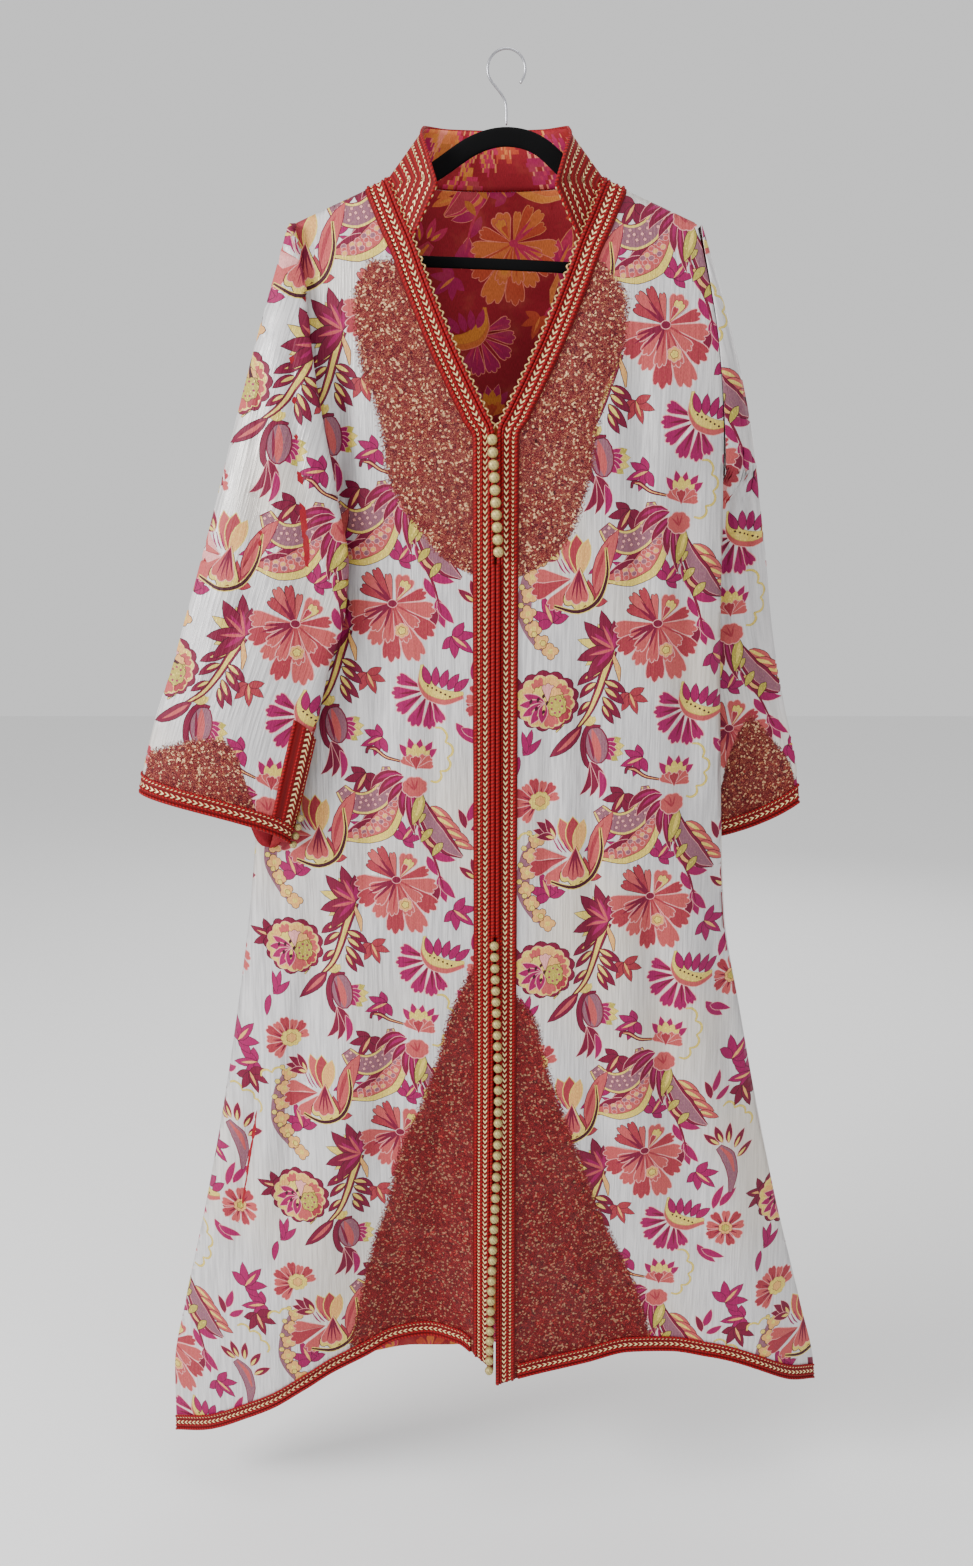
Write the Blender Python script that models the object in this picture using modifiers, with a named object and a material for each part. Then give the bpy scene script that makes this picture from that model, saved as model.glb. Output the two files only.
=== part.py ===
"""Moroccan kaftan hanging on a slim flat hanger.

Metres, +Z up, the front faces -Y. The origin is the inside top of the hanger's hook,
where a rail carries it. Sides are the wearer's: right is at -X, left at +X.
Tables and sizes are in millimetres, x counted outwards from the garment's centre line.
"""

import math

import bmesh
import bpy
import numpy as np

MM = 0.001
RIGHT, LEFT = -1, 1
FRONT, BACK = -1, 1

# Cloth and clearances
WALL = 1.5
SEAM_GAP = 0.3
LAY_GAP = 0.4
BRAID_THICK = 2.0
COLLAR_WALL = 2.4

# Places on the body
CENTRE_X = -11.0
NECK_X, NECK_Z = 114.0, -128.0
BACK_NECK_DIP = 3.0
TIP_X, TIP_Z = 215.0, -172.0
UNDERARM_Z = -430.0
ARMHOLE_OPEN = 20.0
SHOULDER_SOFTNESS = 60.0
ARMHOLE_EDGE, SEAM_EDGE = 0.85, 0.55
HANGER_ROOM, HANGER_EDGE = 4.5, 3.0


def table(names, *rows):
    """Columns by name from short rows, with the first column rising."""
    columns = np.array(rows, float).T
    order = np.argsort(columns[0])
    return dict(zip(names.split(), columns[:, order]))


# Half width of the body at its side seam
SIDE = table(
    "z right left",
    (-172, 215, 215),
    (-300, 240, 240),
    (-430, 252, 253),
    (-600, 258, 256),
    (-800, 276, 264),
    (-950, 293, 274),
    (-1060, 310, 295),
    (-1190, 333, 322),
    (-1330, 362, 354),
    (-1470, 395, 391),
    (-1560, 413, 413),
    (-1660, 416, 418),
)
# Edge of the neckline and of the centre opening, and the outer edge of its braid
NECKLINE = table(
    "z edge braid",
    (-128, 114, 133),
    (-165, 99, 127),
    (-190, 88, 121),
    (-222, 76, 112),
    (-283, 51, 88),
    (-330, 29, 62),
    (-366, 11, 40),
    (-385, 2, 32),
    (-395, 1.2, 28),
    (-440, 1.2, 25),
    (-1700, 1.2, 25),
)
# How far the front and the back stand from the plane of the side seams
DEPTH = table(
    "z front back",
    (-128, 18, 45),
    (-200, 32, 43),
    (-300, 40, 40),
    (-430, 45, 37),
    (-700, 47, 36),
    (-1000, 50, 40),
    (-1300, 57, 47),
    (-1700, 66, 55),
)
# Hem of each front from the centre edge (0) to the side seam (1)
HEM_RIGHT = table(
    "share z y",
    (0, -1524, -62),
    (0.05, -1511, -52),
    (0.1, -1506, -34),
    (0.21, -1507, -14),
    (0.3, -1512, -17),
    (0.4, -1529, -27),
    (0.5, -1546, -37),
    (0.58, -1565, -44),
    (0.66, -1586, -46),
    (0.77, -1612, -38),
    (0.88, -1637, -24),
    (1, -1656, 0),
)
HEM_LEFT = table(
    "share z y",
    (0, -1543, -64),
    (0.08, -1535, -60),
    (0.13, -1532, -56),
    (0.27, -1524, -46),
    (0.41, -1516, -35),
    (0.54, -1517, -32),
    (0.66, -1523, -36),
    (0.8, -1540, -36),
    (0.91, -1565, -22),
    (1, -1579, 0),
)
# Hem of the back from the right side seam (-1) to the left one (1)
HEM_BACK = table(
    "share z y",
    (-1, -1656, 0),
    (-0.8, -1622, 30),
    (-0.6, -1592, 50),
    (-0.4, -1574, 44),
    (-0.25, -1556, 34),
    (-0.15, -1559, 38),
    (0, -1566, 54),
    (0.3, -1560, 44),
    (0.6, -1556, 52),
    (0.85, -1566, 34),
    (1, -1579, 0),
)
HEM_REACH = 0.34
# Soft vertical folds of the skirt: place across, depth and half width, and the height where each fades
FOLDS = table(
    "share depth wide top",
    (0.2, 5, 0.06, -900),
    (0.36, -4, 0.05, -1050),
    (0.52, 6, 0.07, -780),
    (0.7, -5, 0.06, -950),
    (0.84, 5, 0.05, -820),
)
# Sleeve sections, level by level: outer edge, inner fold, and depth of the far cloth at each
SLEEVE_RIGHT = table(
    "z outer inner root out_depth far",
    (-172, 220, 214, 0, 1, 12),
    (-205, 230, 208, 0, 8, 30),
    (-250, 243, 201, 0, 16, 45),
    (-300, 258, 197, 0, 22, 58),
    (-380, 281, 186, 0, 30, 66),
    (-430, 295, 177, 0, 34, 70),
    (-470, 306, 170, 40, 38, 72),
    (-530, 324, 161, 145, 42, 72),
    (-590, 343, 168, 160, 44, 72),
    (-644, 360, 186, 160, 44, 74),
    (-703, 382, 200, 160, 44, 76),
    (-785, 402, 221, 160, 44, 78),
    (-860, 406, 242, 160, 44, 78),
)
SLEEVE_LEFT = table(
    "z outer inner root out_depth far",
    (-172, 220, 214, 0, 1, 12),
    (-205, 232, 209, 0, 8, 32),
    (-250, 248, 210, 0, 16, 50),
    (-300, 264, 214, 0, 22, 60),
    (-380, 286, 216, 0, 30, 64),
    (-430, 296, 212, 0, 34, 66),
    (-470, 303, 205, 40, 38, 68),
    (-530, 313, 190, 145, 42, 70),
    (-590, 321, 182, 160, 44, 70),
    (-644, 330, 182, 160, 44, 70),
    (-703, 343, 185, 160, 44, 72),
    (-785, 362, 190, 160, 44, 74),
    (-870, 367, 198, 160, 44, 76),
)
# Height of the cuff's edge at its outer corner and at its inner one
CUFF_Z = {RIGHT: (-786, -859), LEFT: (-822, -866)}
SLIT_TOP_Z = -705
SLIT_OPEN = 3.0
FOLD_SHARE, FOLD_ROOM, UNDER_LEAST = 0.36, 9.0, 18.0
SLEEVE_CLEAR, ARMHOLE_CLEAR, NEAR_CLEAR, UNDERARM_EXTRA = 7.0, 5.0, 1.25, 2.5
CUFF_TRIM = 20.0
CUFF_SHARE = CUFF_TRIM / 550
SLIT_SHARE = 0.73
SLIT_COLUMNS, SLIT_END_SHARE = (19, 22), 0.05
HEM_TRIM = 20.0
HEM_SHARE = HEM_TRIM / 1400

# Collar: its base follows the neck, its top edge is given here for one half
COLLAR_TOP = table(
    "share x y z",
    (0, 61, -42, -139),
    (0.05, 66, -37, -122),
    (0.13, 72, -26, -101),
    (0.25, 77, -5, -83),
    (0.4, 74, 20, -72),
    (0.62, 58, 41, -69),
    (1, 0, 52, -69),
)
COLLAR_FRONT_Z = -190.0
COLLAR_LIFT = 1.6

# Hanger
HANGER_THICK = 6.0
# Path of its band once round the outline, which hangs a little down to the left: x, z and height
HANGER = (
    (0, -84, 20),
    (34, -92, 20),
    (62, -116, 20),
    (90, -138.2, 18),
    (114, -147.7, 17),
    (160, -165.2, 16),
    (184, -178.5, 14),
    (193, -191, 12),
    (183, -208, 11),
    (120, -217, 12),
    (0, -212.5, 12),
    (-120, -208, 12),
    (-190, -203, 11),
    (-200, -188, 12),
    (-190, -171, 14),
    (-160, -156.2, 16),
    (-125, -143.2, 17),
    (-102, -133.7, 18),
    (-70, -115, 20),
    (-34, -92, 20),
)
HANGER_RINGS = 60
# Its cross-section, in shares of height and thickness
HANGER_SECTION = (
    (-0.5, -0.25),
    (-0.36, -0.5),
    (0.36, -0.5),
    (0.5, -0.25),
    (0.5, 0.25),
    (0.36, 0.5),
    (-0.36, 0.5),
    (-0.5, 0.25),
)
HOOK_WIRE = 1.7
HOOK_REACH = 20.0

# Ball buttons
UPPER_BUTTONS, UPPER_TOP_Z, UPPER_END_Z, UPPER_RADIUS = 10, -397, -516, 6.0
LOWER_BUTTONS, LOWER_TOP_Z, LOWER_END_Z, LOWER_RADIUS = 41, -968, -1519, 5.6
LOWER_DRIFT = table("z x", (-968, -1), (-1163, 4), (-1404, -4), (-1530, -7))
UPPER_DRIFT = table("z x", (-397, -4), (-516, 3))
CUFF_BUTTONS, CUFF_BUTTON_RADIUS, CUFF_BUTTON_PITCH = 4, 4.4, 10.5
CUFF_BUTTON_LOWEST, CUFF_BUTTON_SEAT = {RIGHT: 12.0, LEFT: 9.0}, {RIGHT: 1.1, LEFT: 1.1}
STRING_NECK = 2.4

# Centre piping below the upper buttons
PIPING_RADIUS, PIPING_TOP_Z, PIPING_END_Z = 2.2, -530, -958

# Mesh fineness
FRONT_COLUMNS = (0, 0.062, 0.15, 0.25, 0.36, 0.48, 0.6, 0.72, 0.83, 0.92, 0.98, 1)
FRONT_ROWS = 32
BACK_COLUMNS, BACK_ROWS = 20, 27
SLEEVE_COLUMNS, SLEEVE_ROWS = 22, 18
BAND_ROWS = 36
COLLAR_COLUMNS = 26

# Colour, roughness and metallic value of each material
MATERIALS = {
    "brocade": ((0.62, 0.55, 0.54), 0.45, 0.0),
    "braid": ((0.42, 0.012, 0.02), 0.6, 0.0),
    "red_cord": ((0.5, 0.01, 0.02), 0.6, 0.0),
    "gold_ball": ((0.62, 0.55, 0.3), 0.4, 0.6),
    "hanger_black": ((0.01, 0.01, 0.01), 0.8, 0.0),
    "hook_steel": ((0.6, 0.6, 0.6), 0.25, 1.0),
}


def clear_scene():
    for obj in list(bpy.data.objects):
        bpy.data.objects.remove(obj, do_unlink=True)


def smooth(xs, ys, x):
    """Cubic interpolation that never overshoots the rows."""
    x = np.clip(np.asarray(x, float), xs[0], xs[-1])
    step = np.diff(xs)
    slope = np.diff(ys) / step
    tangent = np.concatenate([[slope[0]], np.zeros(len(xs) - 2), [slope[-1]]])
    same = slope[:-1] * slope[1:] > 0
    total = np.where(same, slope[:-1] + slope[1:], 1.0)
    tangent[1:-1] = np.where(same, 2 * slope[:-1] * slope[1:] / total, 0.0)
    i = np.clip(np.searchsorted(xs, x, side="right") - 1, 0, len(xs) - 2)
    t = (x - xs[i]) / step[i]
    start = ys[i] * (1 + 2 * t) * (1 - t) ** 2 + step[i] * tangent[i] * t * (1 - t) ** 2
    end = ys[i + 1] * t**2 * (3 - 2 * t) + step[i] * tangent[i + 1] * t**2 * (t - 1)
    return start + end


def read(rows, column, at):
    key = next(iter(rows))
    return smooth(rows[key], rows[column], at)


def ease(value):
    value = np.clip(value, 0, 1)
    return value * value * (3 - 2 * value)


def side_name(side):
    return "right" if side == RIGHT else "left"


def side_x(side, z):
    return read(SIDE, side_name(side), z)


def shoulder_z(x):
    """Height of the shoulder seam at a distance from the centre line."""
    share = np.clip((x - NECK_X) / (TIP_X - NECK_X), 0, 1)
    return NECK_Z + (TIP_Z - NECK_Z) * share


def armhole_half(z):
    """Half opening of the armhole, front to back."""
    share = np.clip((z - TIP_Z) / (UNDERARM_Z - TIP_Z), 0, 1)
    return ARMHOLE_OPEN * np.sin(math.pi * share) ** 0.9


def lens(side, x, z):
    """1 on the centre line, 0 at the side seam, with an edge that is rounder below the armhole."""
    reach = np.clip(np.abs(x) / side_x(side, z), 0, 1)
    below = ease((UNDERARM_Z - z) / 120)
    return (1 - reach**3) ** (ARMHOLE_EDGE + (SEAM_EDGE - ARMHOLE_EDGE) * below)


def panel_depth(side, facing, x, z):
    """Distance of the cloth from the side seams' plane, on the front or on the back."""
    below = np.clip(shoulder_z(x) - z, 0, None)
    over_hanger = HANGER_ROOM * np.sqrt(1 - np.exp(-below / HANGER_EDGE))
    over_hanger = over_hanger * ease((z - UNDERARM_Z) / 150)
    drop = np.exp(-below / SHOULDER_SOFTNESS)
    if facing == BACK:
        drop = drop * np.clip(x / NECK_X, 0, 1) ** 2
    spread = np.sqrt(1 - drop) * lens(side, x, z)
    deep = read(DEPTH, "front" if facing == FRONT else "back", z)
    armhole = armhole_half(z)
    return SEAM_GAP / 2 + over_hanger + armhole + (deep - armhole) * spread


def fold_depth(share, z):
    """Soft folds that grow from their top to the hem."""
    total = np.zeros(np.broadcast(share, z).shape)
    for middle, depth, wide, top in zip(*FOLDS.values()):
        grow = ease((top - z) / 500)
        total = total + depth * grow * np.exp(-(((share - middle) / wide) ** 2))
    return total * np.sin(math.pi * np.clip(share, 0, 1)) ** 0.5


def front_point(side, s, t):
    """Inner face of a front: s from the opening to the side seam, t from the shoulder to the hem."""
    hem = HEM_RIGHT if side == RIGHT else HEM_LEFT
    centre_end, corner_end = hem["z"][0], hem["z"][-1]
    edge_z = NECK_Z + (centre_end - NECK_Z) * t
    seam_z = TIP_Z + (corner_end - TIP_Z) * t
    edge_x = read(NECKLINE, "edge", edge_z)
    x = edge_x + (side_x(side, seam_z) - edge_x) * s
    near_hem = ease((t - 1 + HEM_REACH) / HEM_REACH)
    sag = read(hem, "z", s) - (centre_end + (corner_end - centre_end) * s)
    z = edge_z + (seam_z - edge_z) * s + sag * near_hem
    plain = -panel_depth(side, FRONT, x, z) - fold_depth(s, z)
    y = plain * (1 - near_hem) + (read(hem, "y", s) - SEAM_GAP / 2) * near_hem
    return np.stack([CENTRE_X + side * x, y, z], axis=-1)


def back_point(s, t):
    """Inner face of the back: s from the right side seam (-1) to the left one (1)."""
    side = np.where(s < 0, RIGHT, LEFT)
    reach = np.abs(s)
    corner = np.where(s < 0, HEM_BACK["z"][0], HEM_BACK["z"][-1])
    top_z = shoulder_z(TIP_X * reach)
    neck = np.clip(1 - (TIP_X * reach / NECK_X) ** 2, 0, 1)
    top_z = top_z - BACK_NECK_DIP * neck
    centre_end = float(read(HEM_BACK, "z", 0.0))
    plain_end = centre_end + (corner - centre_end) * reach
    z = top_z + (plain_end - top_z) * t
    widths = np.where(s < 0, side_x(RIGHT, z_seam(corner, t)), side_x(LEFT, z_seam(corner, t)))
    x = widths * reach
    near_hem = ease((t - 1 + HEM_REACH) / HEM_REACH)
    z = z + (read(HEM_BACK, "z", s) - plain_end) * near_hem
    right = panel_depth(RIGHT, BACK, x, z)
    left = panel_depth(LEFT, BACK, x, z)
    plain = np.where(s < 0, right, left) + fold_depth(reach, z)
    y = plain * (1 - near_hem) + (read(HEM_BACK, "y", s) + SEAM_GAP / 2) * near_hem
    return np.stack([CENTRE_X + side * x, y, z], axis=-1)


def z_seam(corner, t):
    return TIP_Z + (corner - TIP_Z) * t


def along(side, facing, x, z, clear):
    """A point that lies over a panel at one level, moved out by a clearance: distance and depth."""
    wide = side_x(side, z)
    here = np.clip(x, 0, wide)
    small = 0.5
    lower = np.clip(here - small, 0, wide)
    upper = np.clip(here + small, 0, wide)
    run = np.maximum(upper - lower, 1e-6)
    rise = panel_depth(side, facing, upper, z) - panel_depth(side, facing, lower, z)
    length = np.hypot(run, rise)
    depth = panel_depth(side, facing, here, z)
    return here - rise / length * clear, depth + run / length * clear


def sleeve_point(side, u, t):
    """Inner face of a sleeve: u round it from the outer edge over the far cloth, t from armhole to cuff."""
    rows = SLEEVE_RIGHT if side == RIGHT else SLEEVE_LEFT
    facing = FRONT if side == RIGHT else BACK
    round_share = 1 - np.abs(1 - 2 * u)
    start = TIP_Z + (UNDERARM_Z - TIP_Z) * round_share
    outer_end, inner_end = CUFF_Z[side]
    end = outer_end + (inner_end - outer_end) * ease(round_share)
    z = start + (end - start) * t
    reached = np.clip((z - TIP_Z) / (UNDERARM_Z - TIP_Z), 1e-4, 1)
    w = np.clip(round_share / reached, 0, 1) / 2
    outer = read(rows, "outer", z)
    inner = read(rows, "inner", z)
    out_depth = read(rows, "out_depth", z)
    far = read(rows, "far", z)
    wide = side_x(side, z)
    root = np.clip(wide - read(rows, "root", z), inner + UNDER_LEAST, wide)
    clear = SLEEVE_CLEAR + UNDERARM_EXTRA * np.exp(-(((z - UNDERARM_Z + 15) / 35) ** 2))
    root_x, root_depth = along(side, facing, root, z, clear)
    in_armhole = z >= UNDERARM_Z
    root_x = np.where(in_armhole, wide + ARMHOLE_CLEAR, root_x)
    root_depth = np.where(in_armhole, panel_depth(side, facing, wide, z), root_depth)
    under = along(side, facing, inner + 6, z, SLEEVE_CLEAR)[1]
    far = np.maximum(far, under + FOLD_ROOM)
    fold_depth_here = (under + far) / 2
    # Far cloth, from the outer edge to the fold
    turn = np.clip(w / FOLD_SHARE, 0, 1) * math.pi
    across = (1 + np.cos(turn)) / 2
    far_x = inner + (outer - inner) * across
    middle = fold_depth_here + (out_depth - fold_depth_here) * across
    crown = np.maximum(far - middle, 2)
    far_depth = middle + crown * np.sin(turn) ** 0.8
    # Cloth under the fold, back along the panel to the seam
    back_share = np.clip((w - FOLD_SHARE) / (0.5 - FOLD_SHARE), 0, 1)
    across_panel = inner + 6 + (root - inner - 6) * back_share
    under_x, under_depth = along(side, facing, across_panel, z, clear)
    first = np.clip(back_share / 0.25, 0, 1)
    under_x = inner + (under_x - inner) * (1 - np.cos(first * math.pi / 2))
    under_depth = fold_depth_here + (under_depth - fold_depth_here) * np.sin(first * math.pi / 2)
    turn_down = np.where(in_armhole, ease((back_share - 0.6) / 0.2), ease((back_share - 0.8) / 0.2))
    last = ease((back_share - 0.86) / 0.14)
    last = np.where(in_armhole, last, ease((back_share - 0.8) / 0.2))
    under_x = under_x + (root_x - under_x) * turn_down
    under_depth = under_depth + (root_depth - under_depth) * last
    past_fold = w > FOLD_SHARE
    far_half_x = np.where(past_fold, under_x, far_x)
    far_half_depth = np.where(past_fold, under_depth, far_depth)
    # Near cloth, from the other edge of the armhole to the outer edge
    quarter = w * math.pi
    near_start = np.where(in_armhole, -panel_depth(side, -facing, wide, z), root_depth)
    closer = (ARMHOLE_CLEAR - NEAR_CLEAR) * (armhole_half(z) / ARMHOLE_OPEN) ** 0.5
    near_x = root_x - closer + (outer - root_x + closer) * np.cos(quarter)
    near_depth = out_depth + (near_start - out_depth) * np.sin(quarter)
    over_x, over_depth = along(side, facing, near_x, z, SLEEVE_CLEAR)
    on_panel = (near_x < wide + 2) & ~in_armhole
    near_depth = np.where(on_panel, np.maximum(near_depth, over_depth), near_depth)
    is_far = u <= 0.5
    x = np.where(is_far, far_half_x, near_x)
    depth = np.where(is_far, far_half_depth, near_depth)
    slit = ease((SLIT_TOP_Z - z) / 60) * SLIT_OPEN * np.exp(-(((0.5 - w) / 0.06) ** 2))
    depth = depth - np.where(is_far, 0, slit)
    return np.stack([CENTRE_X + side * x, facing * depth, z], axis=-1)


def lifted(surface, s, t, lift):
    """A point of a surface moved out along its normal."""
    small = 1e-3
    down = np.clip(t + small, 0, 1) - np.clip(t - small, 0, 1)
    across = surface(s + small, t) - surface(s - small, t)
    run = surface(s, np.clip(t + small, 0, 1)) - surface(s, np.clip(t - small, 0, 1))
    normal = np.cross(across, run / np.maximum(down, small)[..., None])
    normal = normal / np.maximum(np.linalg.norm(normal, axis=-1, keepdims=True), 1e-9)
    return surface(s, t) + normal * lift


def collection_for_kaftan():
    made = bpy.data.collections.new("moroccan_kaftan")
    bpy.context.scene.collection.children.link(made)
    return made


def make_materials():
    made = {}
    for name, (colour, roughness, metallic) in MATERIALS.items():
        material = bpy.data.materials.new(name)
        material.use_nodes = True
        shader = material.node_tree.nodes["Principled BSDF"]
        shader.inputs["Base Color"].default_value = (*colour, 1)
        shader.inputs["Roughness"].default_value = roughness
        shader.inputs["Metallic"].default_value = metallic
        made[name] = material
    return made


def add_object(name, mesh, material):
    obj = bpy.data.objects.new(name, mesh)
    obj.data.materials.append(MADE[material])
    KAFTAN.objects.link(obj)
    mesh.shade_smooth()
    return obj


def grid_faces(rows, columns, closed=False):
    faces = []
    for i in range(rows - 1):
        for j in range(columns - 1 + closed):
            k = (j + 1) % columns
            faces.append((i * columns + j, i * columns + k, (i + 1) * columns + k, (i + 1) * columns + j))
    return faces


def add_cloth(name, points, material, thickness, flip=False, outward=1):
    """An open sheet of rows of points, with a Solidify wall on its outer side."""
    rows, columns = points.shape[:2]
    faces = grid_faces(rows, columns)
    if flip:
        faces = [face[::-1] for face in faces]
    mesh = bpy.data.meshes.new(name)
    mesh.from_pydata((points.reshape(-1, 3) * MM).tolist(), [], faces)
    obj = add_object(name, mesh, material)
    wall = obj.modifiers.new("wall", "SOLIDIFY")
    wall.thickness = thickness * MM
    wall.offset = outward
    return obj


def add_tube(name, rings, material, closed=False):
    """A closed solid through rings of points, capped at its ends unless the path closes."""
    count, sides = rings.shape[:2]
    faces = grid_faces(count, sides, closed=True)
    if closed:
        last = (count - 1) * sides
        faces += [(last + j, last + (j + 1) % sides, (j + 1) % sides, j) for j in range(sides)]
    else:
        faces += [tuple(range(sides))[::-1], tuple(range((count - 1) * sides, count * sides))]
    mesh = bpy.data.meshes.new(name)
    mesh.from_pydata((rings.reshape(-1, 3) * MM).tolist(), [], faces)
    shape = bmesh.new()
    shape.from_mesh(mesh)
    bmesh.ops.recalc_face_normals(shape, faces=shape.faces)
    shape.to_mesh(mesh)
    shape.free()
    return add_object(name, mesh, material)


def front_rows(count):
    """Rows close together under the shoulder seam, then even."""
    first = np.array([0, 0.001, 0.004, 0.012, 0.028])
    return np.concatenate([first, np.linspace(0.05, 1, count - len(first))])


def edge_columns(count):
    """Columns from 0 to 1 that gather towards the side seam."""
    return np.sin(np.linspace(0, math.pi / 2, count)) ** 1.15


def rows_to_hem(count):
    """Rows with one at the upper edge of the hem's braid."""
    return np.sort(np.append(front_rows(count), 1 - HEM_SHARE))


def make_front(side):
    t, s = np.meshgrid(rows_to_hem(FRONT_ROWS), FRONT_COLUMNS, indexing="ij")
    points = front_point(side, s, t)
    add_cloth(f"front_{side_name(side)}", points, "brocade", WALL, flip=side == LEFT)


def make_back():
    half = edge_columns(BACK_COLUMNS // 2 + 1)
    across = np.concatenate([-half[::-1], half[1:]])
    t, s = np.meshgrid(rows_to_hem(BACK_ROWS), across, indexing="ij")
    add_cloth("back", back_point(s, t), "brocade", WALL)


def sleeve_columns():
    """Places round a sleeve, from one side of its underarm seam to the other."""
    u = np.linspace(0.5, 1.5, SLEEVE_COLUMNS + 1)
    close = 0.5 / SLEEVE_COLUMNS
    u = np.sort(np.append(u, [1 - close, 1 + close])) % 1.0
    u[0], u[-1] = 0.5 + 1e-6, 0.5
    return u


def sleeve_rows():
    """Rows close together where the cloth turns over the armhole, and one at the cuff's braid."""
    even = np.linspace(0, 1, SLEEVE_ROWS) ** 1.1
    return np.sort(np.append(even, [0.005, 0.015, 0.028, 1 - CUFF_SHARE]))


def make_sleeve(side):
    t, u = np.meshgrid(sleeve_rows(), sleeve_columns(), indexing="ij")
    points = sleeve_point(side, u, t)
    name = f"sleeve_{side_name(side)}"
    weld_above_slit(add_cloth(name, points, "brocade", WALL, flip=True))


def weld_above_slit(obj):
    """Joins the underarm seam down to the top of the cuff's slit."""
    shape = bmesh.new()
    shape.from_mesh(obj.data)
    upper = [v for v in shape.verts if v.co.z > SLIT_TOP_Z * MM]
    bmesh.ops.remove_doubles(shape, verts=upper, dist=0.4 * MM)
    shape.to_mesh(obj.data)
    shape.free()


def make_band(side):
    """Double braid along the neckline and down the centre opening."""
    t = front_rows(BAND_ROWS)
    hem = HEM_RIGHT if side == RIGHT else HEM_LEFT
    edge_z = NECK_Z + (hem["z"][0] - NECK_Z) * t
    seam_z = TIP_Z + (hem["z"][-1] - TIP_Z) * t
    edge_x = read(NECKLINE, "edge", edge_z)
    reach = (read(NECKLINE, "braid", edge_z) - edge_x) / (side_x(side, seam_z) - edge_x)
    across = np.array([0.004, 0.34, 0.66, 1.0])
    t_grid, part = np.meshgrid(t, across, indexing="ij")
    s = part * reach[:, None]
    lift = side * -(WALL + LAY_GAP)
    points = lifted(lambda a, b: front_point(side, a, b), s, t_grid, lift)
    add_cloth(f"front_braid_{side_name(side)}", points, "braid", BRAID_THICK, flip=side == LEFT)


def make_hem_trims():
    rows = np.array([1 - HEM_SHARE, 1.0])
    for side in (RIGHT, LEFT):
        t, s = np.meshgrid(rows, FRONT_COLUMNS[1:], indexing="ij")
        lift = side * -(WALL + LAY_GAP)
        points = lifted(lambda a, b: front_point(side, np.clip(a, 0, 1), b), s, t, lift)
        add_cloth(f"hem_braid_front_{side_name(side)}", points, "braid", BRAID_THICK, flip=side == LEFT)
    half = edge_columns(BACK_COLUMNS // 2 + 1)
    across = np.concatenate([-half[::-1], half[1:]])
    t, s = np.meshgrid(rows, across, indexing="ij")
    points = lifted(lambda a, b: back_point(np.clip(a, -1, 1), b), s, t, WALL + LAY_GAP)
    add_cloth("hem_braid_back", points, "braid", BRAID_THICK)


def grid_normals(points, flip):
    """Normals at the points of a grid, as its wall grows along them."""
    mesh = bpy.data.meshes.new("normals")
    faces = grid_faces(*points.shape[:2])
    if flip:
        faces = [face[::-1] for face in faces]
    mesh.from_pydata((points.reshape(-1, 3) * MM).tolist(), [], faces)
    normals = np.array([v.normal[:] for v in mesh.vertices])
    bpy.data.meshes.remove(mesh)
    return normals.reshape(points.shape)


def add_layer(name, points, normals, material, lift, thickness):
    """A flat strip that lies on a wall at a small gap, with its own thickness."""
    rows, columns = points.shape[:2]
    lower = points + normals * lift
    upper = points + normals * (lift + thickness)
    around = [(0, j) for j in range(columns)]
    around += [(i, columns - 1) for i in range(1, rows)]
    around += [(rows - 1, j) for j in range(columns - 2, -1, -1)]
    around += [(i, 0) for i in range(rows - 2, 0, -1)]
    border = [i * columns + j for i, j in around]
    count = rows * columns
    faces = [face[::-1] for face in grid_faces(rows, columns)]
    faces += [tuple(count + k for k in face) for face in grid_faces(rows, columns)]
    for a, b in zip(border, border[1:] + border[:1]):
        faces.append((a, b, count + b, count + a))
    mesh = bpy.data.meshes.new(name)
    both = np.concatenate([lower.reshape(-1, 3), upper.reshape(-1, 3)])
    mesh.from_pydata((both * MM).tolist(), [], faces)
    shape = bmesh.new()
    shape.from_mesh(mesh)
    bmesh.ops.recalc_face_normals(shape, faces=shape.faces)
    shape.to_mesh(mesh)
    shape.free()
    return add_object(name, mesh, material)


def make_cuff_trims(side):
    """Braid round the cuff's edge and up the outer edge of its slit, on the sleeve's own points."""
    rows = sleeve_rows()
    t, u = np.meshgrid(rows, sleeve_columns(), indexing="ij")
    points = sleeve_point(side, u, t)
    normals = grid_normals(points, flip=True)
    lift = WALL + LAY_GAP
    last = len(rows) - 2
    first = int(np.argmax(rows > SLIT_SHARE))
    cuff = (slice(last, last + 2), slice(1, -1))
    name = side_name(side)
    add_layer(f"cuff_braid_{name}", points[cuff], normals[cuff], "braid", lift, BRAID_THICK)
    slit = (slice(first, last + 1), slice(*SLIT_COLUMNS))
    strip = points[slit].copy()
    strip[-1] = strip[-1] + (strip[-2] - strip[-1]) * SLIT_END_SHARE
    add_layer(f"slit_braid_{name}", strip, normals[slit], "braid", lift, BRAID_THICK)


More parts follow.
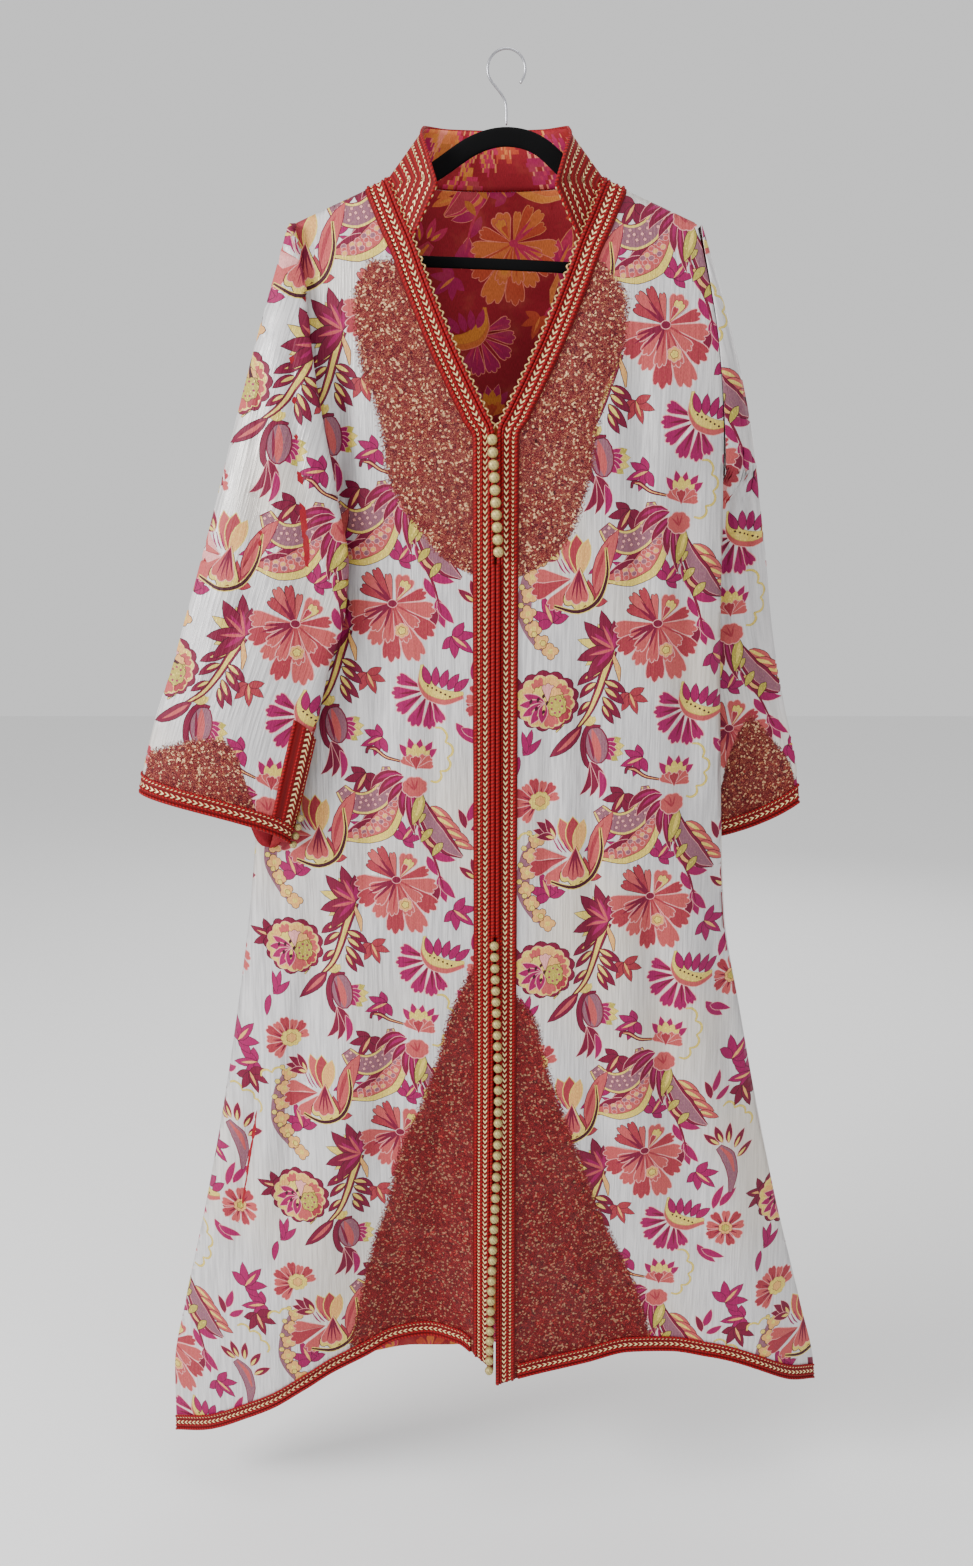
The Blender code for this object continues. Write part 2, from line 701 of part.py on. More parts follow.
def make_cuff_buttons(side):
    """A short row of balls beside the sleeve's inner fold, next to the braid of its slit."""
    rows = SLEEVE_RIGHT if side == RIGHT else SLEEVE_LEFT
    facing = FRONT if side == RIGHT else BACK
    out = WALL + LAY_GAP + BRAID_THICK + SEAM_GAP + CUFF_BUTTON_RADIUS - CUFF_BUTTON_SEAT[side]
    for k in range(CUFF_BUTTONS):
        z = CUFF_Z[side][1] + CUFF_BUTTON_LOWEST[side] + k * CUFF_BUTTON_PITCH
        inner = float(read(rows, "inner", z))
        under = along(side, facing, inner + 6, z, SLEEVE_CLEAR)[1]
        depth = (under + float(read(rows, "far", z))) / 2
        centre = np.array([CENTRE_X + side * (inner - out), facing * depth, z])
        add_ball(f"cuff_button_{side_name(side)}_{k + 1}", centre, CUFF_BUTTON_RADIUS)


def base_of_collar(share):
    """The neck edge that the collar stands on, from the right front (0) round to the left one (1)."""
    front_share = 0.14
    t_front = (COLLAR_FRONT_Z - NECK_Z) / (HEM_RIGHT["z"][0] - NECK_Z)
    points = []
    for value in share:
        if value < front_share:
            below = t_front * (1 - value / front_share)
            point = front_point(RIGHT, np.array(0.0), np.array(below))
        elif value > 1 - front_share:
            below = t_front * (value - 1 + front_share) / front_share
            point = front_point(LEFT, np.array(0.0), np.array(below))
        else:
            turn = (value - front_share) / (1 - 2 * front_share)
            reach = -math.cos(turn * math.pi) * NECK_X / TIP_X
            point = back_point(np.array(reach), np.array(0.0))
        points.append(point)
    return np.array(points)


def make_collar():
    share = np.linspace(0, 1, COLLAR_COLUMNS)
    base = base_of_collar(share)
    middle = np.array([CENTRE_X, 0, 0])
    inward = (middle - base) * np.array([1, 1, 0])
    inward = inward / np.linalg.norm(inward, axis=1, keepdims=True)
    base = base + inward * 0.8 + np.array([0, 0, COLLAR_LIFT])
    half = 1 - np.abs(1 - 2 * share)
    sign = np.sign(share - 0.5)
    top = np.stack(
        [
            CENTRE_X + sign * read(COLLAR_TOP, "x", half),
            read(COLLAR_TOP, "y", half),
            read(COLLAR_TOP, "z", half),
        ],
        axis=1,
    )
    rows = np.array([0, 0.3, 0.6, 0.85, 1.0])[:, None, None]
    points = base[None] * (1 - rows) + top[None] * rows
    add_cloth("collar", points, "brocade", COLLAR_WALL, outward=1, flip=False)


def between_points(before, start, end, after, t):
    """Catmull-Rom curve between two points."""
    linear = (end - before) * t
    square = (2 * before - 5 * start + 4 * end - after) * t**2
    cubic = (3 * start - before - 3 * end + after) * t**3
    return 0.5 * (2 * start + linear + square + cubic)


def closed_path(points, count):
    """Evenly spread points on a closed curve through the given ones."""
    points = np.array(points, float)
    fine = []
    for i in range(len(points)):
        before, start, end, after = (points[(i + k) % len(points)] for k in (-1, 0, 1, 2))
        for t in np.linspace(0, 1, 24, endpoint=False):
            fine.append(between_points(before, start, end, after, t))
    fine = np.array(fine)
    steps = np.linalg.norm(np.diff(fine[:, :2], axis=0, append=fine[:1, :2]), axis=1)
    run = np.concatenate([[0], np.cumsum(steps)])
    at = np.linspace(0, run[-1], count, endpoint=False)
    columns = [np.interp(at, run, np.append(fine[:, k], fine[0, k])) for k in range(fine.shape[1])]
    return np.stack(columns, axis=1)


def make_hanger():
    path = closed_path(HANGER, HANGER_RINGS)
    ahead = np.roll(path[:, :2], -1, axis=0) - np.roll(path[:, :2], 1, axis=0)
    ahead = ahead / np.linalg.norm(ahead, axis=1, keepdims=True)
    out = np.stack([ahead[:, 1], -ahead[:, 0]], axis=1)
    rings = []
    for (x, z, height), normal in zip(path, out):
        ring = []
        for a, b in HANGER_SECTION:
            reach = a * height
            ring.append((x + normal[0] * reach, b * HANGER_THICK, z + normal[1] * reach))
        rings.append(ring)
    add_tube("hanger_frame", np.array(rings), "hanger_black", closed=True)


def make_hook():
    """Steel wire: a stem on the hanger's crown, then an open hook round the rail."""
    eye = -HOOK_REACH + HOOK_WIRE
    route = [(0, -73.6), (0, -64), (0, -56), (-1, -48), (-8, -39)]
    for degrees in range(225, -50, -15):
        angle = math.radians(degrees)
        route.append((HOOK_REACH * math.cos(angle), eye + HOOK_REACH * math.sin(angle)))
    data = bpy.data.curves.new("hanger_hook", "CURVE")
    data.dimensions = "3D"
    data.bevel_depth = HOOK_WIRE * MM
    data.bevel_resolution = 1
    data.use_fill_caps = True
    line = data.splines.new("POLY")
    line.points.add(len(route) - 1)
    for point, (x, z) in zip(line.points, route):
        point.co = (x * MM, 0, z * MM, 1)
    obj = bpy.data.objects.new("hanger_hook", data)
    data.materials.append(MADE["hook_steel"])
    KAFTAN.objects.link(obj)


def on_opening(z, lift, x=0.0):
    """A point in front of the centre opening at one height."""
    side = RIGHT if x < 0 else LEFT
    hem = HEM_RIGHT if side == RIGHT else HEM_LEFT
    t = (z - NECK_Z) / (hem["z"][0] - NECK_Z)
    surface = front_point(side, np.array(0.0), np.array(float(t)))
    return np.array([CENTRE_X + x, surface[1] - lift, z])


def add_ball(name, centre, radius):
    bpy.ops.mesh.primitive_uv_sphere_add(segments=8, ring_count=5, radius=radius * MM, location=centre * MM)
    obj = bpy.context.object
    obj.name = name
    obj.data.name = name
    obj.data.shade_smooth()
    obj.data.materials.append(MADE["gold_ball"])
    for holder in list(obj.users_collection):
        holder.objects.unlink(obj)
    KAFTAN.objects.link(obj)


def make_upper_buttons():
    lift = WALL + LAY_GAP + BRAID_THICK + SEAM_GAP + UPPER_RADIUS
    for k, z in enumerate(np.linspace(UPPER_TOP_Z, UPPER_END_Z, UPPER_BUTTONS)):
        x = float(read(UPPER_DRIFT, "x", z))
        add_ball(f"button_{k + 1:02d}", on_opening(z, lift, x), UPPER_RADIUS)


def make_lower_buttons():
    """One row of balls on their stem, each ball close on the next."""
    pitch = (LOWER_TOP_Z - LOWER_END_Z) / (LOWER_BUTTONS - 1)
    shoulder = 0.86 * LOWER_RADIUS
    profile = ((-0.5, STRING_NECK), (-0.3, shoulder), (0, LOWER_RADIUS), (0.3, shoulder))
    lift = WALL + LAY_GAP + BRAID_THICK + SEAM_GAP + LOWER_RADIUS
    rings = []
    for k in range(LOWER_BUTTONS):
        middle = LOWER_TOP_Z - k * pitch
        for share, radius in profile:
            rings.append(ring_round(middle - share * pitch, lift, radius))
    rings.append(ring_round(LOWER_END_Z - pitch / 2, lift, STRING_NECK))
    add_tube("button_row_lower", np.array(rings), "gold_ball")


def ring_round(z, lift, radius, sides=6):
    centre = on_opening(min(z, LOWER_TOP_Z), lift, float(read(LOWER_DRIFT, "x", z)))
    centre[2] = z
    angles = np.linspace(0, 2 * math.pi, sides, endpoint=False)
    return [centre + np.array([radius * math.cos(a), radius * math.sin(a), 0]) for a in angles]


def make_piping(side):
    """Round red cord along each edge of the opening."""
    lift = WALL + LAY_GAP + BRAID_THICK + SEAM_GAP + PIPING_RADIUS
    rings = []
    angles = np.linspace(0, 2 * math.pi, 6, endpoint=False)
    for z in np.linspace(PIPING_TOP_Z, PIPING_END_Z, 22):
        centre = on_opening(z, lift, side * (PIPING_RADIUS + SEAM_GAP))
        rings.append([centre + PIPING_RADIUS * np.array([math.cos(a), math.sin(a), 0]) for a in angles])
    add_tube(f"opening_piping_{side_name(side)}", np.array(rings), "red_cord")


clear_scene()
KAFTAN = collection_for_kaftan()
MADE = make_materials()
make_hanger()
make_hook()
make_back()
make_collar()
make_hem_trims()
make_upper_buttons()
make_lower_buttons()
for wearer_side in (RIGHT, LEFT):
    make_front(wearer_side)
    make_sleeve(wearer_side)
    make_band(wearer_side)
    make_cuff_trims(wearer_side)
    make_cuff_buttons(wearer_side)
    make_piping(wearer_side)
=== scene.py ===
"""Moroccan kaftan on a slim hanger: brocade cloth, glitter panels, red braid and knotted gold balls.

Garment sizes are in millimetres, x counted outwards from the centre line, as on a cutting table.
Sides are the wearer's: right is at -X, left at +X. The front faces -Y.
"""

import math
from itertools import product

import bmesh
import bpy
import numpy as np
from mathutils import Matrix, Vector
from mathutils.geometry import delaunay_2d_cdt


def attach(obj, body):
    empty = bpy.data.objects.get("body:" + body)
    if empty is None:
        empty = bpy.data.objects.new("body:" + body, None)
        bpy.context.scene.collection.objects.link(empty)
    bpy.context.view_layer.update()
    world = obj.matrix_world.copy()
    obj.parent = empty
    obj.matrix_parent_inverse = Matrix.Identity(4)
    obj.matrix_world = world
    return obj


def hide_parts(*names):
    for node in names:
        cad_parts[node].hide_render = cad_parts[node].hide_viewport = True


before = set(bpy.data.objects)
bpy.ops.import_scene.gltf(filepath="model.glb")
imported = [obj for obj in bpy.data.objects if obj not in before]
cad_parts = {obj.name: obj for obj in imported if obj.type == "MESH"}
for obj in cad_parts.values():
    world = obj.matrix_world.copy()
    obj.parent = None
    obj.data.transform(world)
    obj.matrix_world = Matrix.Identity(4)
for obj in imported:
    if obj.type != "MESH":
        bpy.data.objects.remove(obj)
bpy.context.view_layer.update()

MM = 0.001
RIGHT, LEFT = -1, 1
FRONT, BACK = -1, 1

# Cloth and clearances
WALL = 1.5
SEAM_GAP = 0.3
LAY_GAP = 0.4
BRAID_THICK = 2.0
COLLAR_WALL = 2.4

# Places on the body
CENTRE_X = -11.0
NECK_X, NECK_Z = 114.0, -128.0
BACK_NECK_DIP = 3.0
TIP_X, TIP_Z = 215.0, -172.0
UNDERARM_Z = -430.0
ARMHOLE_OPEN = 20.0
SHOULDER_SOFTNESS = 60.0
ARMHOLE_EDGE, SEAM_EDGE = 0.85, 0.55
HANGER_ROOM, HANGER_EDGE = 4.5, 3.0


def table(names, *rows):
    """Columns by name from short rows, with the first column rising."""
    columns = np.array(rows, float).T
    order = np.argsort(columns[0])
    return dict(zip(names.split(), columns[:, order]))


# Half width of the body at its side seam
SIDE = table(
    "z right left",
    (-172, 215, 215),
    (-300, 240, 240),
    (-430, 252, 253),
    (-600, 258, 256),
    (-800, 276, 264),
    (-950, 293, 274),
    (-1060, 310, 295),
    (-1190, 333, 322),
    (-1330, 362, 354),
    (-1470, 395, 391),
    (-1560, 413, 413),
    (-1660, 416, 418),
)
# Edge of the neckline and of the centre opening, and the outer edge of its braid
NECKLINE = table(
    "z edge braid",
    (-128, 114, 133),
    (-165, 99, 127),
    (-190, 88, 121),
    (-222, 76, 112),
    (-283, 51, 88),
    (-330, 29, 62),
    (-366, 11, 40),
    (-385, 2, 32),
    (-395, 1.2, 28),
    (-440, 1.2, 25),
    (-1700, 1.2, 25),
)
# How far the front and the back stand from the plane of the side seams
DEPTH = table(
    "z front back",
    (-128, 18, 45),
    (-200, 32, 43),
    (-300, 40, 40),
    (-430, 45, 37),
    (-700, 47, 36),
    (-1000, 50, 40),
    (-1300, 57, 47),
    (-1700, 66, 55),
)
# Hem of each front from the centre edge (0) to the side seam (1)
HEM_RIGHT = table(
    "share z y",
    (0, -1524, -62),
    (0.05, -1511, -52),
    (0.1, -1506, -34),
    (0.21, -1507, -14),
    (0.3, -1512, -17),
    (0.4, -1529, -27),
    (0.5, -1546, -37),
    (0.58, -1565, -44),
    (0.66, -1586, -46),
    (0.77, -1612, -38),
    (0.88, -1637, -24),
    (1, -1656, 0),
)
HEM_LEFT = table(
    "share z y",
    (0, -1543, -64),
    (0.08, -1535, -60),
    (0.13, -1532, -56),
    (0.27, -1524, -46),
    (0.41, -1516, -35),
    (0.54, -1517, -32),
    (0.66, -1523, -36),
    (0.8, -1540, -36),
    (0.91, -1565, -22),
    (1, -1579, 0),
)
# Hem of the back from the right side seam (-1) to the left one (1)
HEM_BACK = table(
    "share z y",
    (-1, -1656, 0),
    (-0.8, -1622, 30),
    (-0.6, -1592, 50),
    (-0.4, -1574, 44),
    (-0.25, -1556, 34),
    (-0.15, -1559, 38),
    (0, -1566, 54),
    (0.3, -1560, 44),
    (0.6, -1556, 52),
    (0.85, -1566, 34),
    (1, -1579, 0),
)
HEM = {RIGHT: HEM_RIGHT, LEFT: HEM_LEFT}
HEM_REACH = 0.34
# Soft vertical folds of the skirt: place across, depth and half width, and the height where each fades
FOLDS = table(
    "share depth wide top",
    (0.2, 5, 0.06, -900),
    (0.36, -4, 0.05, -1050),
    (0.52, 6, 0.07, -780),
    (0.7, -5, 0.06, -950),
    (0.84, 5, 0.05, -820),
)
# Sleeve sections, level by level: outer edge, inner fold, and depth of the far cloth at each
SLEEVE_RIGHT = table(
    "z outer inner root out_depth far",
    (-172, 220, 214, 0, 1, 12),
    (-205, 230, 208, 0, 8, 30),
    (-250, 243, 201, 0, 16, 45),
    (-300, 258, 197, 0, 22, 58),
    (-380, 281, 186, 0, 30, 66),
    (-430, 295, 177, 0, 34, 70),
    (-470, 306, 170, 40, 38, 72),
    (-530, 324, 161, 145, 42, 72),
    (-590, 343, 168, 160, 44, 72),
    (-644, 360, 186, 160, 44, 74),
    (-703, 382, 200, 160, 44, 76),
    (-785, 402, 221, 160, 44, 78),
    (-860, 406, 242, 160, 44, 78),
)
SLEEVE_LEFT = table(
    "z outer inner root out_depth far",
    (-172, 220, 214, 0, 1, 12),
    (-205, 232, 209, 0, 8, 32),
    (-250, 248, 210, 0, 16, 50),
    (-300, 264, 214, 0, 22, 60),
    (-380, 286, 216, 0, 30, 64),
    (-430, 296, 212, 0, 34, 66),
    (-470, 303, 205, 40, 38, 68),
    (-530, 313, 190, 145, 42, 70),
    (-590, 321, 182, 160, 44, 70),
    (-644, 330, 182, 160, 44, 70),
    (-703, 343, 185, 160, 44, 72),
    (-785, 362, 190, 160, 44, 74),
    (-870, 367, 198, 160, 44, 76),
)
SLEEVE = {RIGHT: SLEEVE_RIGHT, LEFT: SLEEVE_LEFT}
# Height of the cuff's edge at its outer corner and at its inner one
CUFF_Z = {RIGHT: (-786, -859), LEFT: (-822, -866)}
SLIT_TOP_Z = -705
SLIT_OPEN = 3.0
FOLD_SHARE, FOLD_ROOM, UNDER_LEAST = 0.36, 9.0, 18.0
SLEEVE_CLEAR, ARMHOLE_CLEAR, NEAR_CLEAR, UNDERARM_EXTRA = 7.0, 5.0, 1.25, 2.5
CUFF_TRIM = 20.0
CUFF_SHARE = CUFF_TRIM / 550
SLIT_SHARE = 0.73
HEM_TRIM = 20.0
HEM_SHARE = HEM_TRIM / 1400

# Collar: its base follows the neck, its top edge is given here for one half
COLLAR_TOP = table(
    "share x y z",
    (0, 61, -42, -139),
    (0.05, 66, -37, -122),
    (0.13, 72, -26, -101),
    (0.25, 77, -5, -83),
    (0.4, 74, 20, -72),
    (0.62, 58, 41, -69),
    (1, 0, 52, -69),
)
COLLAR_FRONT_Z = -190.0
COLLAR_LIFT = 1.6

# Ball buttons
UPPER_BUTTONS, UPPER_TOP_Z, UPPER_END_Z, UPPER_RADIUS = 10, -397, -516, 6.0
LOWER_BUTTONS, LOWER_TOP_Z, LOWER_END_Z, LOWER_RADIUS = 41, -968, -1519, 5.6
LOWER_DRIFT = table("z x", (-968, -1), (-1163, 4), (-1404, -4), (-1530, -7))
UPPER_DRIFT = table("z x", (-397, -4), (-516, 3))
CUFF_BUTTONS, CUFF_BUTTON_RADIUS, CUFF_BUTTON_PITCH = 4, 4.4, 10.5
CUFF_BUTTON_LOWEST, CUFF_BUTTON_SEAT = {RIGHT: 12.0, LEFT: 9.0}, 1.1

# Centre piping below the upper buttons
PIPING_RADIUS, PIPING_TOP_Z, PIPING_END_Z = 2.2, -530, -958
PIPING_RINGS = 150


def smooth(xs, ys, x):
    """Cubic interpolation that never overshoots the rows."""
    x = np.clip(np.asarray(x, float), xs[0], xs[-1])
    step = np.diff(xs)
    slope = np.diff(ys) / step
    tangent = np.concatenate([[slope[0]], np.zeros(len(xs) - 2), [slope[-1]]])
    same = slope[:-1] * slope[1:] > 0
    total = np.where(same, slope[:-1] + slope[1:], 1.0)
    tangent[1:-1] = np.where(same, 2 * slope[:-1] * slope[1:] / total, 0.0)
    i = np.clip(np.searchsorted(xs, x, side="right") - 1, 0, len(xs) - 2)
    t = (x - xs[i]) / step[i]
    start = ys[i] * (1 + 2 * t) * (1 - t) ** 2 + step[i] * tangent[i] * t * (1 - t) ** 2
    end = ys[i + 1] * t**2 * (3 - 2 * t) + step[i] * tangent[i + 1] * t**2 * (t - 1)
    return start + end


def read(rows, column, at):
    key = next(iter(rows))
    return smooth(rows[key], rows[column], at)


def ease(value):
    value = np.clip(value, 0, 1)
    return value * value * (3 - 2 * value)


def side_name(side):
    return "right" if side == RIGHT else "left"


def side_x(side, z):
    return read(SIDE, side_name(side), z)


def shoulder_z(x):
    """Height of the shoulder seam at a distance from the centre line."""
    share = np.clip((x - NECK_X) / (TIP_X - NECK_X), 0, 1)
    return NECK_Z + (TIP_Z - NECK_Z) * share


def armhole_half(z):
    """Half opening of the armhole, front to back."""
    share = np.clip((z - TIP_Z) / (UNDERARM_Z - TIP_Z), 0, 1)
    return ARMHOLE_OPEN * np.sin(math.pi * share) ** 0.9


def lens(side, x, z):
    """1 on the centre line, 0 at the side seam, with an edge that is rounder below the armhole."""
    reach = np.clip(np.abs(x) / side_x(side, z), 0, 1)
    below = ease((UNDERARM_Z - z) / 120)
    return (1 - reach**3) ** (ARMHOLE_EDGE + (SEAM_EDGE - ARMHOLE_EDGE) * below)


def panel_depth(side, facing, x, z):
    """Distance of the cloth from the side seams' plane, on the front or on the back."""
    below = np.clip(shoulder_z(x) - z, 0, None)
    over_hanger = HANGER_ROOM * np.sqrt(1 - np.exp(-below / HANGER_EDGE))
    over_hanger = over_hanger * ease((z - UNDERARM_Z) / 150)
    drop = np.exp(-below / SHOULDER_SOFTNESS)
    if facing == BACK:
        drop = drop * np.clip(x / NECK_X, 0, 1) ** 2
    spread = np.sqrt(1 - drop) * lens(side, x, z)
    deep = read(DEPTH, "front" if facing == FRONT else "back", z)
    armhole = armhole_half(z)
    return SEAM_GAP / 2 + over_hanger + armhole + (deep - armhole) * spread


def fold_depth(share, z):
    """Soft folds that grow from their top to the hem."""
    total = np.zeros(np.broadcast(share, z).shape)
    for middle, depth, wide, top in zip(*FOLDS.values()):
        grow = ease((top - z) / 500)
        total = total + depth * grow * np.exp(-(((share - middle) / wide) ** 2))
    return total * np.sin(math.pi * np.clip(share, 0, 1)) ** 0.5


# Long soft creases where the cloth catches the light: distance from the centre line, top, bottom,
# lean outwards per metre down, depth and half width
BODY_CREASES = {
    RIGHT: table(
        "x top low lean depth wide",
        (166, -250, -700, 20, 5.0, 15), (120, -560, -1010, 90, 4.0, 14), (214, -470, -900, 60, 5.0, 15),
        (70, -600, -900, 0, 3.0, 12), (276, -1090, -1500, 150, 7.0, 13), (200, -860, -1420, 130, 5.0, 18),
        (110, -980, -1500, 120, 4.0, 18), (245, -700, -1100, 60, 4.0, 13), (60, -1120, -1530, 60, 3.5, 16),
        (150, -1180, -1560, 100, 4.0, 14),
    ),
    LEFT: table(
        "x top low lean depth wide",
        (150, -240, -640, 30, 4.5, 15), (205, -380, -900, 40, 6.0, 16), (92, -560, -1080, 60, 4.0, 14),
        (60, -620, -980, 0, 3.0, 11), (240, -760, -1260, 110, 5.5, 15), (170, -840, -1420, 110, 5.0, 18),
        (110, -1060, -1500, 130, 4.0, 16), (300, -1120, -1480, 160, 5.0, 13),
        (230, -1180, -1540, 120, 4.5, 16), (66, -1180, -1540, 60, 3.5, 14),
    ),
}
BACK_CREASES = table(
    "x top low lean depth wide",
    (40, -300, -900, 30, 5.0, 18), (-60, -360, -1100, -60, 5.5, 18), (130, -420, -1300, 110, 6.0, 18),
    (-140, -480, -1380, -120, 6.0, 20), (10, -900, -1500, 20, 5.0, 20), (210, -860, -1480, 160, 6.0, 18),
    (-220, -900, -1480, -150, 5.5, 18), (70, -1060, -1540, 70, 4.5, 16), (-80, -1120, -1540, -60, 4.5, 16),
)


# How much deeper than their rows the creases are, and over how much height each fades
CREASE_DEPTH, CREASE_FADE = 1.8, 130


def creases(rows, x, z):
    """How far the cloth gives way inwards along its soft creases."""
    depth = 0.0
    for across, top, low, lean, deep, wide in zip(*rows.values()):
        off = (x - across - lean * (top - z) / 1000) / wide
        fades = ease((top - z) / CREASE_FADE) * ease((z - low) / CREASE_FADE)
        depth = depth + deep * np.exp(-(off**2)) * fades
    return depth * CREASE_DEPTH


def front_point(side, s, t):
    """Inner face of a front: s from the opening to the side seam, t from the shoulder to the hem."""
    hem = HEM[side]
    centre_end, corner_end = hem["z"][0], hem["z"][-1]
    edge_z = NECK_Z + (centre_end - NECK_Z) * t
    seam_z = TIP_Z + (corner_end - TIP_Z) * t
    edge_x = read(NECKLINE, "edge", edge_z)
    x = edge_x + (side_x(side, seam_z) - edge_x) * s
    near_hem = ease((t - 1 + HEM_REACH) / HEM_REACH)
    sag = read(hem, "z", s) - (centre_end + (corner_end - centre_end) * s)
    z = edge_z + (seam_z - edge_z) * s + sag * near_hem
    plain = -panel_depth(side, FRONT, x, z) - fold_depth(s, z) + creases(BODY_CREASES[side], x, z)
    y = plain * (1 - near_hem) + (read(hem, "y", s) - SEAM_GAP / 2) * near_hem
    return np.stack([CENTRE_X + side * x, y, z], axis=-1)


def back_point(s, t):
    """Inner face of the back: s from the right side seam (-1) to the left one (1)."""
    side = np.where(s < 0, RIGHT, LEFT)
    reach = np.abs(s)
    corner = np.where(s < 0, HEM_BACK["z"][0], HEM_BACK["z"][-1])
    top_z = shoulder_z(TIP_X * reach)
    neck = np.clip(1 - (TIP_X * reach / NECK_X) ** 2, 0, 1)
    top_z = top_z - BACK_NECK_DIP * neck
    centre_end = float(read(HEM_BACK, "z", 0.0))
    plain_end = centre_end + (corner - centre_end) * reach
    z = top_z + (plain_end - top_z) * t
    widths = np.where(s < 0, side_x(RIGHT, z_seam(corner, t)), side_x(LEFT, z_seam(corner, t)))
    x = widths * reach
    near_hem = ease((t - 1 + HEM_REACH) / HEM_REACH)
    z = z + (read(HEM_BACK, "z", s) - plain_end) * near_hem
    right = panel_depth(RIGHT, BACK, x, z)
    left = panel_depth(LEFT, BACK, x, z)
    plain = np.where(s < 0, right, left) + fold_depth(reach, z) - creases(BACK_CREASES, side * x, z)
    y = plain * (1 - near_hem) + (read(HEM_BACK, "y", s) + SEAM_GAP / 2) * near_hem
    return np.stack([CENTRE_X + side * x, y, z], axis=-1)


def z_seam(corner, t):
    return TIP_Z + (corner - TIP_Z) * t


def along(side, facing, x, z, clear):
    """A point that lies over a panel at one level, moved out by a clearance: distance and depth."""
    wide = side_x(side, z)
    here = np.clip(x, 0, wide)
    small = 0.5
    lower = np.clip(here - small, 0, wide)
    upper = np.clip(here + small, 0, wide)
    run = np.maximum(upper - lower, 1e-6)
    rise = panel_depth(side, facing, upper, z) - panel_depth(side, facing, lower, z)
    length = np.hypot(run, rise)
    depth = panel_depth(side, facing, here, z)
    return here - rise / length * clear, depth + run / length * clear


def cuff_share(side, u, share):
    """How far down the cuff's slant a place is. The hidden cloth ends level with the cloth before it."""
    rows = SLEEVE[side]
    outer_end, inner_end = CUFF_Z[side]
    outer, inner = float(read(rows, "outer", outer_end)), float(read(rows, "inner", inner_end))
    root = inner + 30
    x = root + (outer - root) * np.cos(share * math.pi / 2)
    turn = np.arccos(np.clip(2 * (x - inner) / (outer - inner) - 1, -1, 1))
    level = turn / math.pi * FOLD_SHARE * 2
    blend = ease((share - 0.8) / 0.2)
    level = level * (1 - blend) + share * blend
    return np.where((u > 0.5) & (side == RIGHT), level, share)


